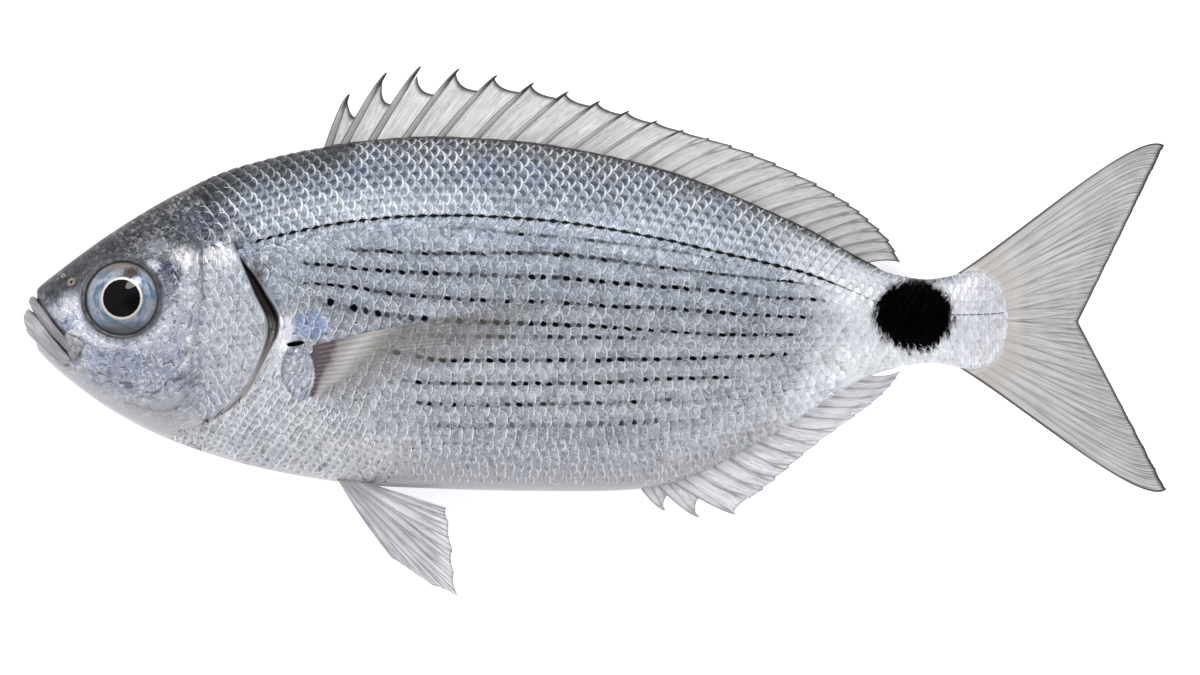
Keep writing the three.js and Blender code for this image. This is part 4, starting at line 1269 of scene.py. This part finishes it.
def scale_plate():
    """Thin clear scales over silver pigment: dark in the middle up on the back, part pigment and part painted
    shade, with painted highlights on their rear edges and painted shade under the scale ahead.
    """
    made, add = material("scale_plate")
    place = add("TexCoord", out="Object")
    uv = add("SeparateXYZ", add("UVMap", uv_map="UVMap")).node.outputs
    tint = add("Attribute", attribute_name="tint", out="Color")
    dots = add("SeparateColor", add("Attribute", attribute_name="dots", out="Color")).node.outputs
    form = add("SeparateColor", add("Attribute", attribute_name="form", out="Color")).node.outputs
    wobble = add("TexNoise", Vector=place, Scale=1500, Detail=2)
    masks = []
    for centre, radii in SCALE_MARKS:
        u = add("Math.DIVIDE", add("Math.SUBTRACT", uv[0], centre[0]), radii[0])
        v = add("Math.DIVIDE", add("Math.SUBTRACT", uv[1], centre[1]), radii[1])
        square = add("Math.MULTIPLY_ADD", v, v, add("Math.MULTIPLY", u, u))
        square = add("Math.MULTIPLY_ADD", wobble, 1.4, square)
        masks.append(add("MapRange", square, 2.1, 1.0, interpolation_type="SMOOTHSTEP"))
    # The dark middle: part pigment, part painted shade
    core = add("Math.MULTIPLY", masks[0], form[0])
    ink = add("Math.MULTIPLY", masks[1], dots[0])
    ink = add("Math.MULTIPLY_ADD", masks[2], dots[1], ink)
    blobs = add("MapRange", dots[2], 0.5)
    links = add("MapRange", dots[2], 0, 0.5, 0, 0.85)
    ink = add("Math.MULTIPLY_ADD", masks[3], blobs, ink)
    ink = add("Math.MULTIPLY_ADD", masks[4], links, ink, use_clamp=True)
    # The painted highlight on the rear edge comes and goes; painted threads of highlight 1.3 mm apart and
    # small facets cross the rest
    bend = add("TexNoise", Vector=place, Scale=700, Detail=2, out="Color")
    bent = add("VectorMath.MULTIPLY_ADD", bend, (0.0012, 0.0012, 0.0012), place)
    patchy = add("TexNoise", Vector=place, Scale=420, Detail=2)
    patchy = add("MapRange", patchy, 0.4, 0.58, 0.25)
    rim = add("Math.MULTIPLY_ADD", form[0], 0.025, uv[0])
    rim = add("MapRange", rim, 0.91, 0.965, interpolation_type="SMOOTHSTEP")
    # Painted shade that darkens each scale towards its rear edge, under the painted highlight there
    rim_shade = add("MapRange", uv[0], 0.78, 0.91)
    rim_shade = add("Math.MULTIPLY", rim_shade, form[0])
    rim = add("Math.MULTIPLY", rim, form[1])
    rim = add("Math.MULTIPLY", rim, patchy)
    threads = add("TexNoise", Vector=bent, Scale=620, Detail=3, Distortion=1.0)
    threads = crossing_lines(add, threads, 0.5, 0.04, 0, 0.8)
    quiet = add("MapRange", form[0], 0.2, 0.8, 1, 0.25)
    quiet = add("Math.MULTIPLY", quiet, form[1])
    threads = add("Math.MULTIPLY", threads, quiet)
    facets = add("TexVoronoi", Vector=bent, Scale=1000, out="Color")
    facets = add("SeparateColor", facets)
    facets = add("MapRange", facets, 0, 1, 0.84, 1.12)
    colour = add("VectorMath.SCALE", tint, Scale=facets)
    rim_shade = add("Math.MULTIPLY", rim_shade, 0.3)
    core = add("Math.MAXIMUM", core, rim_shade)
    core = add("Math.MULTIPLY", core, 0.92)
    deep = add("VectorMath.MULTIPLY", tint, (0.13, 0.155, 0.2))
    # Painted shade: each scale darkens towards the one ahead, which overlaps it
    overlap_shade = add("MapRange", uv[0], 0.8, 0.5, 0, 0.45)
    shade = add("VectorMath.SCALE", tint, Scale=0.35)
    rim = add("Math.MULTIPLY", rim, 0.85, use_clamp=True)
    for share, over in ((core, deep), (overlap_shade, shade), (threads, paint("e6e9ee")), (rim, paint("f7f8fb")),
                        (ink, paint("0e0e10"))):
        colour = add("Mix", share, colour, over)
    # Growth lines 0.25 mm apart across each scale
    rings = add("Math.MULTIPLY", uv[0], 110.0)
    rings = add("Math.SINE", rings)
    rings = add("Math.MULTIPLY_ADD", rings, 0.12, facets)
    bump = add("Bump", Height=rings, Strength=0.35, Distance=0.0003)
    rough = add("MapRange", form[2], 0, 1, 0.26, 0.42)
    # Black pigment doesn't glitter
    light = add("SeparateColor", tint, out=1)
    metal = add("MapRange", light, 0.05, 0.0, 0.42, 1)
    metal = add("Math.MAXIMUM", metal, ink)
    coat = add("MapRange", light, 0, 0.1, 0.0, 0.2)
    dull = add("Math.SUBTRACT", 1.0, ink)
    coat = add("Math.MULTIPLY", coat, dull)
    finish_with(made, Base_Color=colour, Metallic=metal, Roughness=rough, Normal=bump, Coat_Weight=coat,
                Coat_Roughness=0.15)
    return made


def fin_skin(name, web, ray, edge, alpha, dark, root, *, streaks, solid=0.95, thinning=1.0, lowest=1.0,
             edged=0.6, last=(24, 1, 1)):
    """Wet fin skin, thin enough to see through, stretched between horny rays."""
    made, add = material(name)
    place = add("TexCoord", out="Object")
    uv = add("UVMap", uv_map="UVMap")
    mask = add("Attribute", attribute_name="ray", out="Fac")
    margin = add("Attribute", attribute_name="margin", out="Fac")
    # Fine fibres that run along the rays, about 0.3 mm apart
    fibres = add("Mapping", Vector=uv, Scale=(17, 1.4, 1))
    fibres = add("TexNoise", Vector=fibres, Scale=1, Detail=3, Roughness=0.65)
    cloud = add("TexNoise", Vector=place, Scale=160, Detail=3)
    lines = add("MapRange", fibres, 0.34, 0.66, 0.74, 1.12)
    flanks = crossing_lines(add, mask, 0.55, 0.45, 0.1, 0.7)
    # Some rays show dark and others hardly at all
    uneven = add("Mapping", Vector=uv, Scale=(3.3, 2.4, 1))
    uneven = add("TexNoise", Vector=uneven, Scale=1, Detail=2)
    uneven = add("MapRange", uneven, 0.4, 0.62, 0.12)
    flanks = add("Math.MULTIPLY", flanks, uneven)
    colour = add("Mix", mask, paint(web), paint(ray))
    darker = add("VectorMath.SCALE", paint(ray)[:3], Scale=0.38)
    colour = add("Mix", flanks, colour, darker)
    colour = add("VectorMath.SCALE", colour, Scale=lines)
    # Thin dark lines that start and end anywhere along the rays
    thin = add("Mapping", Vector=uv, Scale=(streaks[0], 1.3, 1))
    thin = add("TexNoise", Vector=thin, Scale=1, Detail=3, Roughness=0.6)
    thin = crossing_lines(add, thin, 0.5, 0.045, 0, streaks[1])
    colour = add("Mix", thin, colour, paint(edge))
    shade = add("MapRange", cloud, 0.3, 0.7, 0.9, 1.08)
    colour = add("VectorMath.SCALE", colour, Scale=shade)
    at_ray = add("SeparateXYZ", uv)
    along = add("MapRange", at_ray, 0, last[0], last[1], last[2])
    colour = add("VectorMath.SCALE", colour, Scale=along)
    see = add("Math.MULTIPLY_ADD", mask, solid - alpha, alpha)
    thin = add("MapRange", margin, 0.3, 1, 1, thinning)
    see = add("Math.MULTIPLY", see, thin)
    low = add("MapRange", at_ray, 3.0, 12.0, 1, lowest)
    see = add("Math.MULTIPLY", see, low)
    for code, reach, strength in root:
        where = add("Math.MULTIPLY_ADD", cloud, 0.8 * reach, margin)
        where = add("MapRange", where, 1.6 * reach, 1.1 * reach, 0, strength)
        colour = add("Mix", where, colour, paint(code))
        see = add("Math.MULTIPLY_ADD", where, 0.6, see, use_clamp=True)
    rim = add("Attribute", attribute_name="inward", out="Fac")
    rim = add("MapRange", rim, edged, 0.3 * edged, 0, dark)
    colour = add("Mix", rim, colour, paint(edge))
    see = add("Math.MULTIPLY_ADD", rim, 0.5, see, use_clamp=True)
    bump = add("Bump", Height=fibres, Strength=0.3, Distance=0.0002)
    finish_with(made, Base_Color=colour, Roughness=0.4, Alpha=see, Normal=bump, Coat_Weight=0.15,
                Coat_Roughness=0.2)
    return made


def fin_spine(name, pale, dark, tipped):
    """Hard spines under a thin skin: grey-brown bone that darkens to its tip and along both its edges."""
    made, add = material(name)
    place = add("TexCoord", out="Object")
    margin = add("Attribute", attribute_name="margin", out="Fac")
    front = add("Attribute", attribute_name="front", out="Fac")
    cloud = add("TexNoise", Vector=place, Scale=500, Detail=3)
    tip = add("MapRange", margin, 0.6, 0.9)
    tip = add("Math.MULTIPLY_ADD", cloud, 0.3, tip)
    tip = add("MapRange", tip, 0.2, 0.85, 0, tipped)
    side = add("MapRange", front, 0.4, 0.95, 0, 0.8)
    colour = add("Mix", cloud, paint(dark), paint(pale))
    shade = add("VectorMath.SCALE", paint(dark)[:3], Scale=0.28)
    for share, over in ((side, shade), (tip, paint("100e0e"))):
        colour = add("Mix", share, colour, over)
    finish_with(made, Base_Color=colour, Roughness=0.36, Coat_Weight=0.2, Coat_Roughness=0.15)
    return made


def wet_eye():
    """A fresh eye: a clear wet dome over a black pupil and a silvery blue iris."""
    made, add = material("wet_eye")
    place = add("TexCoord", out="Object")
    flat, radius, swirl = round_eye(add, place, 1.1, 0.55)
    split = add("SeparateXYZ", flat).node.outputs
    bands = add("TexNoise", Vector=swirl, Scale=1.6, Detail=4, Roughness=0.55, Distortion=0.7)
    grainy = add("TexNoise", Vector=flat, Scale=2.5, Detail=3)
    ramp = add("ValToRGB", bands)
    stops = [(0.34, "5a6c82"), (0.45, "6c8096"), (0.53, "8596a9"), (0.6, "aea8aa"), (0.7, "6c869f")]
    elements = ramp.node.color_ramp.elements
    elements[0].position, elements[1].position = stops[0][0], stops[-1][0]
    for position, _ in stops[1:-1]:
        elements.new(position)
    for element, (_, code) in zip(elements, stops):
        element.color = paint(code)
    across = add("MapRange", split[0], -6, 6, 1.0, 0.84)
    iris = add("VectorMath.SCALE", ramp, Scale=across)
    upper = add("MapRange", split[1], 5, 7.2, 0, 0.85)
    lower = add("MapRange", split[1], -4.6, -6.8, 0, 0.85)
    outer = add("MapRange", radius, 7.6, 8.2, 0, 0.92)
    blot = add("VectorMath.SUBTRACT", flat, (2.1, 5.6, 0))
    blot = add("VectorMath.MULTIPLY", blot, (0.5, 0.72, 0))
    blot = add("VectorMath.LENGTH", blot, out="Value")
    blot = add("Math.MULTIPLY_ADD", grainy, 1.6, blot)
    blot = add("MapRange", blot, 2.1, 1.4, 0, 0.92)
    pale = add("MapRange", radius, 4.95, 4.6)
    pupil = add("Math.MULTIPLY_ADD", grainy, 0.3, radius)
    pupil = add("MapRange", pupil, 4.5, 4.36)
    colour = iris
    for share, code in ((upper, "82746a"), (lower, "44484a"), (outer, "57524f"), (blot, "2c1e18"),
                        (pale, "d9d0c8"), (pupil, "030406")):
        colour = add("Mix", share, colour, paint(code))
    metal = add("Math.MAXIMUM", pupil, 0.75)
    coat = add("MapRange", pupil, 0, 1, 0.4, 0.25)
    finish_with(made, Base_Color=colour, Metallic=metal, Roughness=0.55, Coat_Weight=coat,
                Coat_Roughness=0.04)
    return made


def plain_skin(name, pale, dark, size, rough, along=False, metal=0.1, gloss=0.25):
    """Smooth wet skin without scales, clouded with grey, or streaked along a lip."""
    made, add = material(name)
    place = add("TexCoord", out="Object")
    if along:
        uv = add("UVMap", uv_map="UVMap")
        streaks = add("Mapping", Vector=uv, Scale=(0.5, 18, 1))
        cloud = add("TexNoise", Vector=streaks, Scale=1, Detail=4)
    else:
        cloud = add("TexNoise", Vector=place, Scale=1 / (size * MM), Detail=4)
    mask = add("MapRange", cloud, 0.35, 0.65)
    colour = add("Mix", mask, paint(dark), paint(pale))
    bump = add("Bump", Height=cloud, Strength=0.3, Distance=0.0003)
    finish_with(made, Base_Color=colour, Roughness=rough, Normal=bump, Metallic=metal, Coat_Weight=gloss,
                Coat_Roughness=0.14)
    return made


# The fish
silver = silvered_skin()
skin = skin_piece(silver)
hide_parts("fish")
plates = scale_plate()
beds = [list(kind()) for kind in (upper_beds, lower_beds, tail_beds, cover_beds, cheek_beds, breast_beds)]
eye_skin, lid_skin = wet_eye(), plain_skin("lid_skin", "5b5a5e", "2a292c", 1.2, 0.4)
nose_skin = plain_skin("nostril_skin", "8f8672", "5d5850", 0.6, 0.4)
jaw_skin = plain_skin("jaw_skin", "a5a4a3", "727173", 0.8, 0.36)
mark_skin = plain_skin("dark_mark_skin", "0d0c0d", "060506", 1.0, 0.6, metal=1, gloss=0)
for side, word in ((1, "left"), (-1, "right")):
    scales_piece("scales_upper_" + word, side, beds[0] + beds[2], plates)
    scales_piece("scales_lower_" + word, side, beds[1] + beds[3] + beds[4] + beds[5], plates)
    eye_piece("eye_" + word, side, eye_skin)
    eye_rim_piece("eye_rim_" + word, side, lid_skin)
    nostril_piece("nostril_rims_" + word, side, nose_skin)
    pad_piece("jaw_plate_" + word, JAW_PLATE, side, jaw_skin, base=-0.3, rise=0.75)
    pad_piece("pectoral_base_" + word, PECTORAL_LOBE, side, silver, base=-0.35, rise=1.25, rough=0.32)
    pad_piece("pectoral_mark_" + word, PECTORAL_MARK, side, mark_skin, base=-0.1, rise=0.75)
lip_skin = plain_skin("lip_skin", "9a969b", "625e65", 0.9, 0.46, along=True, gloss=0.1)
chin_skin = plain_skin("chin_skin", "b0adb1", "827e81", 1.4, 0.5, along=True, gloss=0.08)
lip_piece("upper_lip", UPPER_LIP, lip_skin, wide=1.15, thick=0.9, fade=0.8)
lip_piece("lower_lip", LOWER_LIP, chin_skin, wide=2.15, thick=1.2, fade=0.6)

dorsal = edge_rays(DORSAL_RAYS, DORSAL_SPINES, back, 1)
anal = edge_rays(ANAL_RAYS, ANAL_SPINES, belly, -1)
grey_fin = fin_skin("grey_fin_skin", "dbd9d8", "aba7a3", "2b2725", 0.7, 0.95, [("a8a19b", 0.12, 0.6)],
                    edged=1.6, last=(24, 1.06, 0.74), streaks=(5, 0.3))
pale_fin = fin_skin("pale_fin_skin", "eceaef", "b9b8bd", "66656a", 0.66, 0.38, [("a39d98", 0.05, 0.7)],
                    edged=0.8, streaks=(5, 0.5))
tail_skin = fin_skin("tail_fin_skin", "d0cecd", "b5b2b1", "262221", 0.84, 1.0,
                     [("b4aca2", 0.21, 0.6), ("d6d3d6", 0.08, 0.9)], edged=3.1, streaks=(12, 0.42))
# The pectoral fin's root is beige, with painted shade behind the lobe at its base
clear_fin = fin_skin("clear_fin_skin", "a8a398", "87837b", "4a4640", 0.18, 0.05,
                     [("cbc8c6", 0.32, 0.78), ("4c3f46", 0.17, 1)], solid=0.5, thinning=0.4, lowest=0.3,
                     last=(3, 0.8, 1), streaks=(4, 0.45))
bone = fin_spine("fin_spine", "a6a29f", "868280", 0.98)
pale_bone = fin_spine("pale_fin_spine", "d6d5d9", "b9b8bc", 0.4)
membrane_piece("dorsal_fin", dorsal, grey_fin, in_mid_plane, webbed(DORSAL_WEB, DORSAL_SPINES),
               per_ray=16, rows=40, splits=(0.5,), share=0.15, spread=(0.4, 0.18), spiny=DORSAL_SPINES)
spines_piece("dorsal_spines", dorsal[:DORSAL_SPINES], DORSAL_EDGE, bone, in_mid_plane)
membrane_piece("anal_fin", anal, pale_fin, in_mid_plane, webbed(ANAL_WEB, ANAL_SPINES), per_ray=20,
               rows=32, splits=(0.5,), share=0.15, spread=(0.4, 0.18), spiny=ANAL_SPINES, pleat=0.2)
spines_piece("anal_spines", anal[:ANAL_SPINES], ANAL_EDGE, pale_bone, in_mid_plane)
membrane_piece("tail_fin", tail_rays(), tail_skin, lambda x, y, up: mid_plane(x), per_ray=32, rows=52,
               splits=(0.14, 0.36, 0.58), web=0.4, ray=0.56, spread=(0.22, 0.1), pleat=0.06, notch=0.008,
               ragged=0.003)
for side, word in ((1, "left"), (-1, "right")):
    membrane_piece("pelvic_fin_" + word, pelvic_rays(side), pale_fin,
                   lambda x, y, up: mid_plane(x) + side * (PELVIC_OFFSET + PELVIC_SPLAY * up),
                   per_ray=26, rows=40, splits=(0.3, 0.55), spread=(0.35, 0.16), pleat=0.25)
    membrane_piece("pectoral_fin_" + word, pectoral_rays(), clear_fin,
                   on_upper_flank if side > 0 else under_lower_flank,
                   per_ray=16, rows=60, splits=(0.02, 0.4), web=0.14, ray=0.32 if side > 0 else 0.24,
                   spread=(0.17, 0.1), pleat=0.05 if side > 0 else 0, notch=0.01)
# Painted shade along the foot of the dorsal fin
ridge_piece("dorsal_groove_shade", -61.5, 64.5, 0.62, plain_skin("groove_shade_skin", "3d3a38", "1c1a19", 2.0, 0.4))

# Table, light and camera, which looks straight down on the fish
FRAME_WIDTH = 272.2
LENS, SENSOR = 300, 36
VIEW_CENTRE = (1.17, -1.75)

bpy.ops.mesh.primitive_plane_add(size=3, location=(0, 0, 0))
table = bpy.context.object
table.name = "table"
made = material("white_table")[0]
finish_with(made, Base_Color=paint("fbfbfb"), Roughness=0.9, Emission_Color=paint("ffffff"),
            Emission_Strength=0.4)
table.data.materials.append(made)

world = bpy.data.worlds.new("soft_room")
bpy.context.scene.world = world
world.use_nodes = True
# A light tent, with a dark opening overhead for the camera
sky = world.node_tree
above = node(sky, "SeparateXYZ", node(sky, "TexCoord"), out=2)
tent = node(sky, "MapRange", above, 0.9, 0.985, 0.95, 0.35)
sky.links.new(tent, sky.nodes["Background"].inputs["Strength"])
sky.nodes["Background"].inputs["Color"].default_value = paint("f6f8fb")


def lamp(name, place, size, power):
    light = bpy.data.lights.new(name, "AREA")
    light.shape, light.size, light.size_y, light.energy = "ELLIPSE", size[0], size[1], power
    holder = bpy.data.objects.new(name, light)
    holder.location = place
    holder.rotation_euler = (-Vector(place)).to_track_quat("-Z", "Y").to_euler()
    bpy.context.scene.collection.objects.link(holder)


lamp("top_light", (-0.3, 0.6, 0.75), (0.3, 0.25), 4)
lamp("side_light", (0.5, -0.7, 0.7), (0.8, 0.5), 1.5)

camera = bpy.data.objects.new("camera", bpy.data.cameras.new("camera"))
camera.data.lens, camera.data.sensor_width = LENS, SENSOR
eye_height = MID_HEIGHT + FRAME_WIDTH * LENS / SENSOR
camera.location = (VIEW_CENTRE[0] * MM, VIEW_CENTRE[1] * MM, eye_height * MM)
bpy.context.scene.collection.objects.link(camera)
bpy.context.scene.camera = camera
bpy.context.scene.view_settings.view_transform = "Standard"
